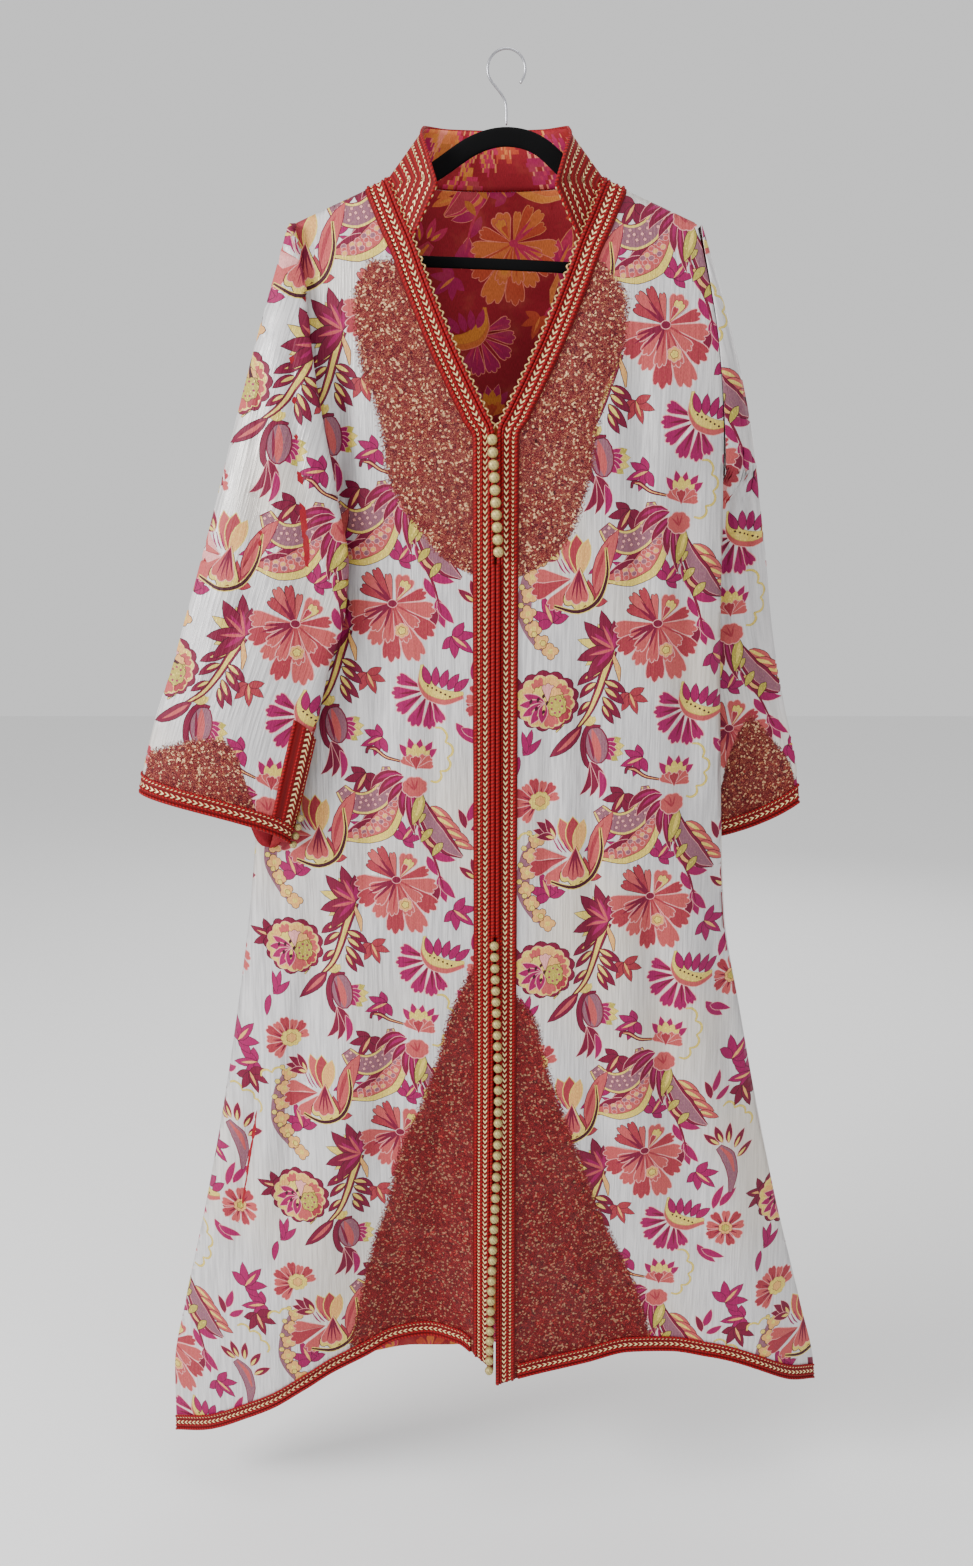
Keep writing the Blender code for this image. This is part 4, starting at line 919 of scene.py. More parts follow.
def scallop_line(p, points, size):
    """A row of open scallops in pale yellow thread."""
    points = np.array(points, float)
    for start, end in zip(points[:-1], points[1:]):
        middle = (start + end) / 2
        ahead = end - start
        side = np.array([-ahead[1], ahead[0]]) / np.hypot(*ahead)
        crown = middle + side * size
        rise = crown * 0.75 - middle * 0.35
        line = (start, start * 0.6 + rise, crown, end * 0.6 + rise, end)
        p.lay(ribbon(line, (1.5, 2, 2, 2, 1.5)), "yellow", "olive", 0.4)


def right_side(p):
    """What fills the cloth between one coral flower and the next one's blossoms."""
    daisy(p, 104, -92, 24, 10)
    p.leaves((
        (70, -116, 300, 34, 9, 30), (76, -122, 330, 30, 8, 20), (88, -66, 80, 34, 8, -20),
        (96, -62, 60, 30, 8, -20),
    ), "magenta", "pink", 0.6)
    p.lay(ribbon(((92, 16), (104, 2), (110, -20), (108, -44)), (8, 16, 12, 3)), "mauve", "maroon", 1.0)
    p.lay(ribbon(((94, 16), (106, 2), (112, -18)), (2, 6, 2)), "coral", None)
    for x, y, angle in ((92, 20, 150), (96, 22, 120), (104, 20, 92), (112, 12, 62), (116, 0, 36)):
        p.lay(leaf(x, y, angle, 24, 8, -12), "maroon", "pink", 0.6)
        p.lay(leaf(x, y, angle, 14, 3, -8), "yellow", None)


def small_leaves(p):
    p.leaves((
        (-150, -128, 60, 30, 7, 20), (-150, -130, 30, 28, 7, 24), (-146, -128, 96, 26, 6, 10),
        (-154, -132, 250, 26, 7, 20), (-60, 84, 200, 22, 5, 20), (-56, 84, 250, 20, 5, 10),
        (-52, 86, 340, 34, 5, 10), (-54, 88, 36, 20, 5, 10), (-24, 82, 8, 16, 5, -10),
        (-38, 84, 60, 14, 5, 10), (-118, 40, 300, 18, 5, 10),
    ), "magenta", "wine", 0.5)


# Leaf sprays between the large motifs: root, way they point, length of the middle leaf and dye
FILLING = (
    (108, -196, 60, 34, "magenta"), (122, -232, 300, 30, "maroon"), (-14, -134, 210, 27, "magenta"),
    (-34, -176, 250, 30, "maroon"), (66, -18, 330, 30, "magenta"), (132, 100, 200, 30, "magenta"),
    (-118, 20, 120, 32, "magenta"), (-150, -60, 170, 28, "maroon"), (96, -92, 290, 24, "deep_coral"),
    (-74, 40, 110, 28, "deep_coral"), (8, 66, 60, 26, "magenta"), (-30, -60, 300, 26, "deep_coral"),
)


def filling_sprays(p):
    for x, y, turn, size, dye in FILLING:
        for off, share in ((-84, 0.62), (-46, 0.85), (-8, 1.0), (30, 0.9), (68, 0.68)):
            p.lay(leaf(x, y, turn + off, size * share, size * 0.30, off * 0.35, 0.8, 6), dye, "wine", 0.6)
        p.lay(leaf(x, y, turn - 8, size * 0.7, size * 0.10, 0, 0.8, 4), "peach", None)


def brocade_repeat():
    """The patches of one repeat of the pattern, what lies lowest first."""
    p = Pattern()
    filling_sprays(p)
    scallop_line(p, ((46, -122), (58, -138), (60, -156), (52, -172), (40, -184)), 7)
    scallop_line(p, ((-168, -236), (-154, -228), (-138, -226), (-124, -232)), 6)
    scallop_line(p, ((96, 66), (112, 60), (126, 50), (134, 34)), 6)
    for motif in (
        small_leaves, right_side, blossom_chain, sprays, plume, scale_leaf, lattice_horn, ball_and_leaves,
        tulip, side_daisy, lotus, thistle, branch, peony, feather_flower, palmette, coral_flower,
    ):
        motif(p)
    return p.patches


# How far the pattern is shifted on each panel: where one coral flower's heart lies, across and up
FLOWER_AT = {
    "front_right": (-114.0, -591.0),
    "front_left": (181.0, -614.0),
    "back": (-20.0, -520.0),
    "sleeve_right": (120.0, -330.0),
    "sleeve_left": (-70.0, -470.0),
}
# Half width of the glitter yoke and of the glitter gores of the skirt, level by level
YOKE = table(
    "z right left",
    (-210, 134, 108), (-253, 151, 140), (-290, 149, 138), (-327, 143, 128), (-356, 132, 116),
    (-388, 124, 109), (-431, 119, 104), (-469, 102, 94), (-498, 80, 83), (-521, 61, 65),
    (-542, 25, 30), (-552, 5, 5), (-700, 5, 5),
)
YOKE_TOP = -212.0
GORE = table(
    "z right left",
    (-960, 5, 5), (-1006, 31, 10), (-1027, 42, 22), (-1066, 57, 50), (-1112, 69, 60),
    (-1173, 90, 80), (-1230, 114, 100), (-1316, 135, 129), (-1367, 151, 152), (-1434, 167, 180),
    (-1507, 182, 200), (-1600, 200, 215),
)
# Upper edge of the glitter at each cuff, by the distance from the centre line
CUFF_GLITTER = {
    RIGHT: table("x z", (250, -819), (264, -809), (273, -788), (281, -760), (287, -739),
                 (305, -719), (387, -737), (395, -762), (420, -830)),
    LEFT: table("x z", (262, -850), (271, -801), (275, -776), (302, -715), (330, -742),
                (354, -773), (368, -830)),
}
# Fine cloth mesh between the patches of dye, and the plain mesh of a panel's inner face
FACE_STEP, BACK_STEP, LINING_STEP = 7.0, 10.0, 12.0
# How far an outline may stray when points are dropped, and the smallest patch of dye kept on the back
FRONT_LOOSE, BACK_LOOSE, SMALLEST_ON_BACK = 0.12, 0.36, 6.0
# On the back, only patches larger than this keep their outline
LEAST_OUTLINED = 30.0
# A patch is left out where this share of its points lies further off the panel than this, in millimetres
MOST_LOST, OFF_PANEL = 0.6, 14
# Grid points this near to the edge of a sheet give way to its border's own, in millimetres
BORDER_ROOM = 0.4
# Stretches of the back's inner face that show, from the shoulder and at the hem
NECK_SHOWS, HEM_SHOWS, NECK_WIDE, HEM_WIDE = 0.27, 0.94, 0.42, 0.50


def eased(shape, loose):
    """An outline without the points that lie nearly straight between their neighbours."""
    for _ in range(2):
        if len(shape) < 7:
            return shape
        before, after = np.roll(shape, 1, axis=0), np.roll(shape, -1, axis=0)
        base, reach = after - before, shape - before
        off = np.abs(base[:, 0] * reach[:, 1] - base[:, 1] * reach[:, 0])
        off = off / np.maximum(np.hypot(*base.T), 1e-9)
        shape = shape[(off > loose) | (np.arange(len(shape)) % 2 == 0)]
    return shape


def inside(shape, points):
    """Which points lie inside an outline."""
    x, y = points[:, 0], points[:, 1]
    found = np.zeros(len(points), bool)
    x0, y0 = shape[:, 0], shape[:, 1]
    x1, y1 = np.roll(x0, -1), np.roll(y0, -1)
    for a, b, c, d in zip(x0, y0, x1, y1):
        crosses = (b > y) != (d > y)
        if crosses.any():
            at = a + (y - b) * (c - a) / (d - b if d != b else 1.0)
            found ^= crosses & (x < at)
    return found


class Panel:
    """One piece of cloth: s across and t down over a sheet, its surface and the flat cloth it is cut from."""

    def __init__(self, name, surface, flat, s_range, size, outward, patches):
        self.name, self.surface, self.flat = name, surface, flat
        self.s_range, self.size, self.outward, self.all_patches = s_range, size, outward, patches

    def to_sheet(self, s, t):
        return np.stack([(s - self.s_range[0]) * self.scale[0], t * self.scale[1]], axis=-1)

    def from_sheet(self, points):
        return points[:, 0] / self.scale[0] + self.s_range[0], points[:, 1] / self.scale[1]

    @property
    def scale(self):
        return self.size[0] / (self.s_range[1] - self.s_range[0]), self.size[1]

    def find(self, a, b):
        """The place on the panel of points of the flat cloth."""
        low, high = self.s_range
        t_table, s_table = np.meshgrid(np.linspace(0, 1, 61), np.linspace(low, high, 41), indexing="ij")
        known = np.stack(self.flat(s_table.ravel(), t_table.ravel()), axis=1)
        s, t = np.empty(len(a)), np.empty(len(a))
        for k in range(0, len(a), 3000):
            part = slice(k, k + 3000)
            apart = (a[part, None] - known[:, 0]) ** 2 + (b[part, None] - known[:, 1]) ** 2
            best = np.argmin(apart, axis=1)
            s[part], t[part] = s_table.ravel()[best], t_table.ravel()[best]
        nearest = s.copy(), t.copy()
        small = 1e-3
        reach = (high - low) * 0.15
        for _ in range(6):
            here = self.flat(s, t)
            ds = [(p - q) / small for p, q in zip(self.flat(s + small, t), here)]
            dt = [(p - q) / small for p, q in zip(self.flat(s, t + small), here)]
            det = ds[0] * dt[1] - ds[1] * dt[0]
            det = np.where(np.abs(det) < 1e3, np.where(det < 0, -1e3, 1e3), det)
            ea, eb = a - here[0], b - here[1]
            step_s = (ea * dt[1] - eb * dt[0]) / det
            step_t = (eb * ds[0] - ea * ds[1]) / det
            s = np.clip(s + np.clip(step_s, -reach, reach), low - reach, high + reach)
            t = np.clip(t + np.clip(step_t, -0.08, 0.08), -0.15, 1.15)
        here = self.flat(s, t)
        lost = np.hypot(a - here[0], b - here[1]) > 1.5
        s, t = np.where(lost, nearest[0], s), np.where(lost, nearest[1], t)
        here = self.flat(s, t)
        return s, t, np.hypot(a - here[0], b - here[1]) > OFF_PANEL

    def patches_here(self):
        """The pattern's patches that touch this panel, in the panel's own sheet."""
        low, high = self.s_range
        t, s = np.meshgrid(np.linspace(0, 1, 40), np.linspace(low, high, 40), indexing="ij")
        a, b = self.flat(s.ravel(), t.ravel())
        middle = FLOWER_AT[self.name]
        repeats = []
        for values, at, size, over in zip((a, b), middle, REPEAT, (0.9, 1.2)):
            first = math.floor((values.min() - at) / size - 0.9)
            repeats.append(range(first, math.ceil((values.max() - at) / size + over) + 1))
        column_range, row_range = repeats
        shapes, dyes = [], []
        loose = BACK_LOOSE if self.name == "back" else FRONT_LOOSE
        eased_patches = [(eased(shape, loose), dye) for shape, dye in self.all_patches]
        if self.name == "back":
            least = {"wine": LEAST_OUTLINED, "pink": LEAST_OUTLINED}
            eased_patches = [
                row for row in eased_patches
                if np.ptp(row[0], axis=0).max() > least.get(row[1], SMALLEST_ON_BACK)
            ]
        least_place, most_place = (a.min(), b.min()), (a.max(), b.max())
        for row, column in product(row_range, column_range):
            offset = np.array([middle[0] + column * REPEAT[0], middle[1] + row * REPEAT[1]])
            for shape, dye in eased_patches:
                moved = shape + offset
                if (moved.max(axis=0) >= least_place).all() and (moved.min(axis=0) <= most_place).all():
                    shapes.append(moved)
                    dyes.append(DYE_NAMES.index(dye))
        ends = np.cumsum([len(shape) for shape in shapes])
        every = np.concatenate(shapes)
        s, t, off = self.find(every[:, 0], every[:, 1])
        sheet = self.to_sheet(s, t)
        found = []
        for start, end, dye in zip(np.concatenate([[0], ends[:-1]]), ends, dyes):
            shape = sheet[start:end]
            touches = (shape.max(axis=0) > 0).all() and (shape.min(axis=0) < self.size).all()
            if touches and off[start:end].mean() < MOST_LOST:
                found.append((shape, dye))
        return found

    def grid(self, step, border):
        """Points evenly over the sheet, without those near its edge where the border's are given."""
        wide, high = self.size
        columns, rows = max(2, round(wide / step)), max(2, round(high / step))
        across, down = np.meshgrid(np.linspace(0, wide, columns + 1), np.linspace(0, high, rows + 1))
        points = np.stack([across.ravel(), down.ravel()], axis=1)
        if border is None:
            return points
        inner = (points > BORDER_ROOM).all(axis=1) & (points < np.array(self.size) - BORDER_ROOM).all(axis=1)
        return points[inner]

    def triangles(self, points, edges, with_sources):
        """Triangles of the sheet between points along given edges, their centres and the points' sources."""
        made = delaunay_2d_cdt([Vector(p) for p in points.tolist()], edges, [], 0, 1e-3, with_sources)
        verts = np.array([v[:] for v in made[0]])
        faces = np.array([f for f in made[2] if len(f) == 3])
        corners = verts[faces]
        centres = corners.mean(axis=1)
        kept = (centres > 0).all(axis=1) & (centres < np.array(self.size)).all(axis=1)
        first, second = corners[:, 1] - corners[:, 0], corners[:, 2] - corners[:, 0]
        kept &= np.abs(first[:, 0] * second[:, 1] - first[:, 1] * second[:, 0]) > 1e-6
        return verts, faces[kept], centres[kept], made[3]

    def cut(self, patches, step, border=None):
        """Triangles of the sheet along the patches' outlines, with the dye of each."""
        wide, high = self.size
        points = [self.grid(step, border)] + ([] if border is None else [border])
        start = sum(len(p) for p in points)
        outlines = [np.array([(0, 0), (wide, 0), (wide, high), (0, high)], float)]
        outlines += [shape for shape, _ in patches]
        edges = []
        for shape in outlines:
            count = len(shape)
            points.append(shape)
            edges += [(start + k, start + (k + 1) % count) for k in range(count)]
            start += count
        verts, faces, centres, _ = self.triangles(np.concatenate(points), edges, False)
        dye = np.zeros(len(faces), int)
        order = np.argsort(centres[:, 1])
        levels = centres[order, 1]
        for shape, colour in patches:
            first, last = np.searchsorted(levels, (shape[:, 1].min(), shape[:, 1].max()))
            near = order[first:last]
            x = centres[near, 0]
            near = near[(x > shape[:, 0].min()) & (x < shape[:, 0].max())]
            if len(near):
                dye[near[inside(shape, centres[near])]] = colour
        return self.thinned(verts, faces, dye, step, border)

    def thinned(self, verts, faces, dye, step, border):
        """The same patches with only the outlines that show, and a plain mesh between them."""
        ends, first_dye, second_dye = shown_edges(faces, dye)
        used, index = np.unique(ends, return_inverse=True)
        edges = index.reshape(-1, 2).tolist()
        points = np.concatenate([verts[used], self.grid(step, border)])
        new_verts, new_faces, _, sources = self.triangles(points, edges, True)
        where = {}
        for number, merged in enumerate(sources):
            for source in merged:
                where[source] = number
        known = {}
        for (a, b), left, right in zip(edges, first_dye.tolist(), second_dye.tolist()):
            a, b = where.get(a, -1), where.get(b, -1)
            known[(a, b)], known[(b, a)] = left, right
        found = np.full(len(new_faces), -1)
        for k, (a, b, c) in enumerate(new_faces.tolist()):
            for edge in ((a, b), (b, c), (c, a)):
                if known.get(edge, -1) >= 0:
                    found[k] = known[edge]
        return new_verts, new_faces, spread(new_faces, found, known)


def shown_edges(faces, dye):
    """Edges between two dyes or on the border, each with the dye on its left and on its right."""
    ends = np.concatenate([faces[:, [0, 1]], faces[:, [1, 2]], faces[:, [2, 0]]])
    dyes = np.tile(dye, 3)
    turned = ends[:, 0] > ends[:, 1]
    key = np.sort(ends, axis=1)
    unique, index = np.unique(key, axis=0, return_inverse=True)
    index = index.ravel()
    left, right = np.full(len(unique), -1), np.full(len(unique), -1)
    left[index[~turned]] = dyes[~turned]
    right[index[turned]] = dyes[turned]
    shown = left != right
    return unique[shown], left[shown], right[shown]


def spread(faces, found, known):
    """The dye of every triangle, spread from those beside an outline across the edges that don't show."""
    ends = np.concatenate([faces[:, [0, 1]], faces[:, [1, 2]], faces[:, [2, 0]]])
    owner = np.tile(np.arange(len(faces)), 3)
    key = np.sort(ends, axis=1)
    order = np.lexsort((key[:, 1], key[:, 0]))
    key, owner = key[order], owner[order]
    same = (key[1:] == key[:-1]).all(axis=1)
    one, other, edge = owner[1:][same], owner[:-1][same], key[1:][same]
    plain = np.array([(a, b) not in known for a, b in edge.tolist()], bool)
    one, other = one[plain], other[plain]
    for _ in range(400):
        before = (found < 0).sum()
        from_one = (found[other] < 0) & (found[one] >= 0)
        found[other[from_one]] = found[one[from_one]]
        from_other = (found[one] < 0) & (found[other] >= 0)
        found[one[from_other]] = found[other[from_other]]
        if (found < 0).sum() == before:
            break
    return np.maximum(found, 0)


def border_loop(verts, size):
    """The vertices on a sheet's border, once round."""
    wide, high = size
    near = 2e-3
    sides = (
        (verts[:, 1] < near, verts[:, 0]),
        (verts[:, 0] > wide - near, verts[:, 1]),
        (verts[:, 1] > high - near, -verts[:, 0]),
        (verts[:, 0] < near, -verts[:, 1]),
    )
    loop = []
    for mask, along_side in sides:
        found = np.nonzero(mask)[0]
        found = found[np.argsort(along_side[found])].tolist()
        loop += found[:-1] if found else []
    return loop


def places_round(verts, loop, size):
    """How far round a sheet's border each vertex of its loop lies, with the whole way round at the end."""
    steps = np.linalg.norm(np.diff(verts[loop + loop[:1]], axis=0), axis=1)
    whole = 2 * (size[0] + size[1])
    return np.concatenate([[0], np.cumsum(steps)]) * whole / steps.sum()


def bridge(first, first_at, second, second_at):
    """Faces between two loops of vertices, each step taken by the loop that lags behind."""
    faces = []
    i = j = 0
    while i < len(first) or j < len(second):
        a, b = first[i % len(first)], first[(i + 1) % len(first)]
        c, d = second[j % len(second)], second[(j + 1) % len(second)]
        ahead = first_at[i + 1] if i < len(first) else math.inf
        behind = second_at[j + 1] if j < len(second) else math.inf
        if abs(ahead - behind) < 1e-2:
            faces.append((a, b, d, c))
            i, j = i + 1, j + 1
        elif ahead < behind:
            faces.append((a, b, c))
            i += 1
        else:
            faces.append((a, d, c))
            j += 1
    return faces


def glitter_depth(side, x, z, sleeve):
    """How far inside the glitter a point lies, in millimetres."""
    if sleeve:
        return read(CUFF_GLITTER[side], "z", x) - z
    name = side_name(side)
    yoke = np.minimum(read(YOKE, name, z) - x, YOKE_TOP - z)
    gore = read(GORE, name, z) - x
    return np.maximum(yoke, gore)


def make_cloth(panel, side, sleeve=False, lining=None, wall=WALL):
    """A closed thin shell: the dyed face, a plainer inner face and the edge between them."""
    patches = panel.patches_here()
    face_verts, face_tris, face_dye = panel.cut(patches, FACE_STEP if side else BACK_STEP)
    loop = border_loop(face_verts, panel.size)
    border = face_verts[loop]
    shown = [row for row in patches if lining and lining(*panel.from_sheet(row[0]))]
    back_verts, back_tris, back_dye = panel.cut(shown, LINING_STEP, border)
    back_loop = border_loop(back_verts, panel.size)
    s, t = panel.from_sheet(face_verts)
    s_back, t_back = panel.from_sheet(back_verts)
    s, s_back = np.clip(s, *panel.s_range), np.clip(s_back, *panel.s_range)
    outer = lifted(panel.surface, s, np.clip(t, 0, 1), panel.outward * wall)
    inner = panel.surface(s_back, np.clip(t_back, 0, 1))
    shift = len(outer)
    verts = np.concatenate([outer, inner])
    normal = outer - panel.surface(s, np.clip(t, 0, 1))
    corners = outer[face_tris]
    facing = np.cross(corners[:, 1] - corners[:, 0], corners[:, 2] - corners[:, 0])
    flip = (facing * normal[face_tris].mean(axis=1)).sum() < 0
    front = face_tris[:, ::-1] if flip else face_tris
    rear = (back_tris if flip else back_tris[:, ::-1]) + shift
    rim = bridge(loop, places_round(face_verts, loop, panel.size), [k + shift for k in back_loop],
                 places_round(back_verts, back_loop, panel.size))
    if not flip:
        rim = [face[::-1] for face in rim]
    faces = front.tolist() + rear.tolist() + rim
    mesh = bpy.data.meshes.new(panel.name)
    mesh.from_pydata((verts * MM).tolist(), [], faces)
    a, b = panel.flat(np.concatenate([s, s_back]), np.concatenate([t, t_back]))
    add_uv(mesh, np.stack([a, b], axis=1) * MM)
    x = side * (verts[:, 0] - CENTRE_X)
    depth = glitter_depth(side, x, verts[:, 2], sleeve) if side else np.full(len(verts), -100.0)
    add_value(mesh, "glitter", np.clip(depth, -40, 40) * MM)
    dye = np.concatenate([face_dye, back_dye, np.zeros(len(rim), int)])
    add_dyes(mesh, dye, len(front))
    obj = new_piece(panel.name, mesh, CLOTH_FACE)
    obj.data.materials.append(CLOTH_REVERSE)
    slots = np.zeros(len(faces), np.int32)
    slots[len(front) : len(front) + len(rear)] = 1
    mesh.polygons.foreach_set("material_index", slots)
    return obj


def add_uv(mesh, coordinates, name="cloth"):
    """A UV map in metres of cloth or of braid."""
    loops = np.empty(len(mesh.loops), np.int32)
    mesh.loops.foreach_get("vertex_index", loops)
    layer = mesh.uv_layers.new(name=name)
    layer.uv.foreach_set("vector", coordinates[loops].astype(np.float32).ravel())


def add_value(mesh, name, values):
    layer = mesh.attributes.new(name, "FLOAT", "POINT")
    layer.data.foreach_set("value", np.asarray(values, np.float32))


def linear(colour):
    colour = np.asarray(colour, float)
    return np.where(colour <= 0.04045, colour / 12.92, ((colour + 0.055) / 1.055) ** 2.4)


# The view lifts reds, so dyes are set deeper than they are seen: power and factor on the linear colour
DYE_DEPTH, DYE_LIGHT = 1.28, 0.95


def richer(colour):
    """A dye a little deeper than the colour it is seen as."""
    return linear(colour) ** DYE_DEPTH * DYE_LIGHT


def add_dyes(mesh, dye, face_count):
    """The colour of every patch on its corners, and how much metal thread it holds."""
    face = np.array([[*richer(DYES[name][0]), DYES[name][2]] for name in DYE_NAMES])
    reverse = np.array([[*richer(DYES[name][1]), DYES[name][2] * 0.3] for name in DYE_NAMES])
    colours = np.where((np.arange(len(dye)) < face_count)[:, None], face[dye], reverse[dye])
    raised = (dye > 0).astype(float)
    sizes = np.empty(len(mesh.polygons), np.int32)
    mesh.polygons.foreach_get("loop_total", sizes)
    layer = mesh.color_attributes.new("dye", "FLOAT_COLOR", "CORNER")
    opaque = np.concatenate([colours[:, :3], np.ones((len(dye), 1))], axis=1)
    layer.data.foreach_set("color", np.repeat(opaque, sizes, axis=0).astype(np.float32).ravel())
    thread = np.stack([raised, colours[:, 3], np.zeros(len(dye)), np.ones(len(dye))], axis=1)
    layer = mesh.color_attributes.new("thread", "FLOAT_COLOR", "CORNER")
    layer.data.foreach_set("color", np.repeat(thread, sizes, axis=0).astype(np.float32).ravel())


def new_piece(name, mesh, material):
    """An object that rides on the garment. One of the same name as a solid is called its cloth."""
    obj = bpy.data.objects.new(name + "_cloth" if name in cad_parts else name, mesh)
    bpy.context.scene.collection.objects.link(obj)
    obj.data.materials.append(material)
    mesh.shade_smooth()
    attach(obj, "root")
    return obj


def stands_for(node):
    """Hides the solid that a piece takes the place of."""
    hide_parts(node)


def front_flat(side):
    def flat(s, t):
        points = front_point(side, s, t)
        return points[..., 0] - CENTRE_X, points[..., 2]
    return flat


def back_flat(s, t):
    """Seen from behind, the pattern runs the other way across."""
    points = back_point(s, t)
    return CENTRE_X - points[..., 0], points[..., 2]


def sleeve_surface(side):
    """A sleeve's inner face with u from 0.5 to 1.5, from its seam round to its seam again."""
    def surface(u, t):
        turned = np.clip(u, 0.5 + 1e-6, 1.5 - 1e-6)
        points = sleeve_point(side, np.where(turned >= 1, turned - 1, turned), t)
        points[..., 1] += sleeve_creases(side, turned, t, points[..., 2])
        return points
    return surface


# Long soft creases of the sleeves: place across from the outer edge, where each starts and ends, lean, depth
SLEEVE_CREASES = (
    (0.30, 0.02, 0.50, 0.24, 2.2), (0.62, 0.05, 0.62, 0.10, 2.6), (0.46, 0.30, 0.92, -0.16, 2.2),
    (0.78, 0.42, 0.95, -0.12, 1.8), (0.20, 0.48, 0.98, 0.06, 2.0), (0.88, 0.10, 0.40, -0.20, 1.6),
)
# How much deeper than their rows they are, and their width and fading as shares of the sleeve
SLEEVE_CREASE_DEPTH, SLEEVE_CREASE_WIDE, SLEEVE_CREASE_FADE = 1.5, 0.055, 0.12


def sleeve_creases(side, u, t, z):
    """How far the sleeve's cloth gives way inwards, towards the back on the cloth that faces forwards."""
    share = 1 - np.abs(1 - 2 * (u % 1.0))
    reached = np.clip((z - TIP_Z) / (UNDERARM_Z - TIP_Z), 1e-4, 1)
    w = np.clip(share / reached, 0, 1) / 2
    far = u >= 1
    place = np.clip(np.where(far, w / FOLD_SHARE, w / 0.5), 0, 1)
    depth = 0.0
    for across, start, end, lean, deep in SLEEVE_CREASES:
        off = (place - across - lean * (t - start)) / SLEEVE_CREASE_WIDE
        fades = ease((t - start) / SLEEVE_CREASE_FADE) * ease((end - t) / SLEEVE_CREASE_FADE)
        depth = depth + SLEEVE_CREASE_DEPTH * deep * np.exp(-(off**2)) * fades
    depth = depth * np.sin(math.pi * place) ** 0.5
    forwards = far == (side == RIGHT)
    return np.where(forwards, depth, -depth)


# How far a sleeve's cloth leans out from the body, in degrees, and how fast the flat cloth goes on
# past its edges
SLEEVE_SLANT = {RIGHT: 16.0, LEFT: 12.0}
PAST_SEAM, PAST_SHOULDER, PAST_CUFF = 300, 420, 560


def sleeve_flat(side):
    """Across from the outer edge, positive towards the wearer's left, and down along the sleeve."""
    rows = SLEEVE[side]
    slant = math.radians(SLEEVE_SLANT[side])

    def flat(u, t):
        inside_u, inside_t = np.clip(u, 0.5, 1.5), np.clip(t, 0.0, 1.0)
        points = sleeve_surface(side)(inside_u, inside_t)
        x, z = side * (points[..., 0] - CENTRE_X), points[..., 2]
        share = 1 - np.abs(1 - 2 * (inside_u % 1.0))
        reached = np.clip((z - TIP_Z) / (UNDERARM_Z - TIP_Z), 1e-4, 1)
        outer, inner = read(rows, "outer", z), read(rows, "inner", z)
        turned = (inside_u > 1) & (share / reached / 2 > FOLD_SHARE)
        across = np.where(turned, 2 * (outer - inner) - (outer - x), outer - x) * math.cos(slant)
        beyond = (np.abs(u - 1) - 0.5).clip(0) * PAST_SEAM
        a = np.where(u >= 1, across + beyond, -across - beyond)
        b = z * math.cos(slant) - x * math.sin(slant)
        above = np.clip(-t, 0, None) * PAST_SHOULDER
        a = a + np.where(u >= 1, above, -above)
        return a, b + above - np.clip(t - 1, 0, None) * PAST_CUFF
    return flat


class Value:
    """One output of a material's node, which Python's operators work on."""

    def __init__(self, looks, socket):
        self.looks, self.socket = looks, socket

    def maths(self, operation, *others):
        return self.looks.node("ShaderNodeMath", {"operation": operation}, (self, *others))

    def __add__(self, other):
        return self.maths("ADD", other)

    def __sub__(self, other):
        return self.maths("SUBTRACT", other)

    def __rsub__(self, other):
        return self.looks.node("ShaderNodeMath", {"operation": "SUBTRACT"}, (other, self))

    def __mul__(self, other):
        return self.maths("MULTIPLY", other)

    __radd__ = __add__
    __rmul__ = __mul__

    def sine(self):
        return self.maths("SINE")

    def least(self, other):
        return self.maths("MINIMUM", other)

    def most(self, other):
        return self.maths("MAXIMUM", other)

    def size(self):
        return self.maths("ABSOLUTE")

    def part(self):
        return self.maths("FRACT")

    def step(self, low, high):
        """0 below low, 1 above high, soft between them."""
        settings = {"interpolation_type": "SMOOTHSTEP"}
        return self.looks.node("ShaderNodeMapRange", settings, (self, low, high, 0.0, 1.0))


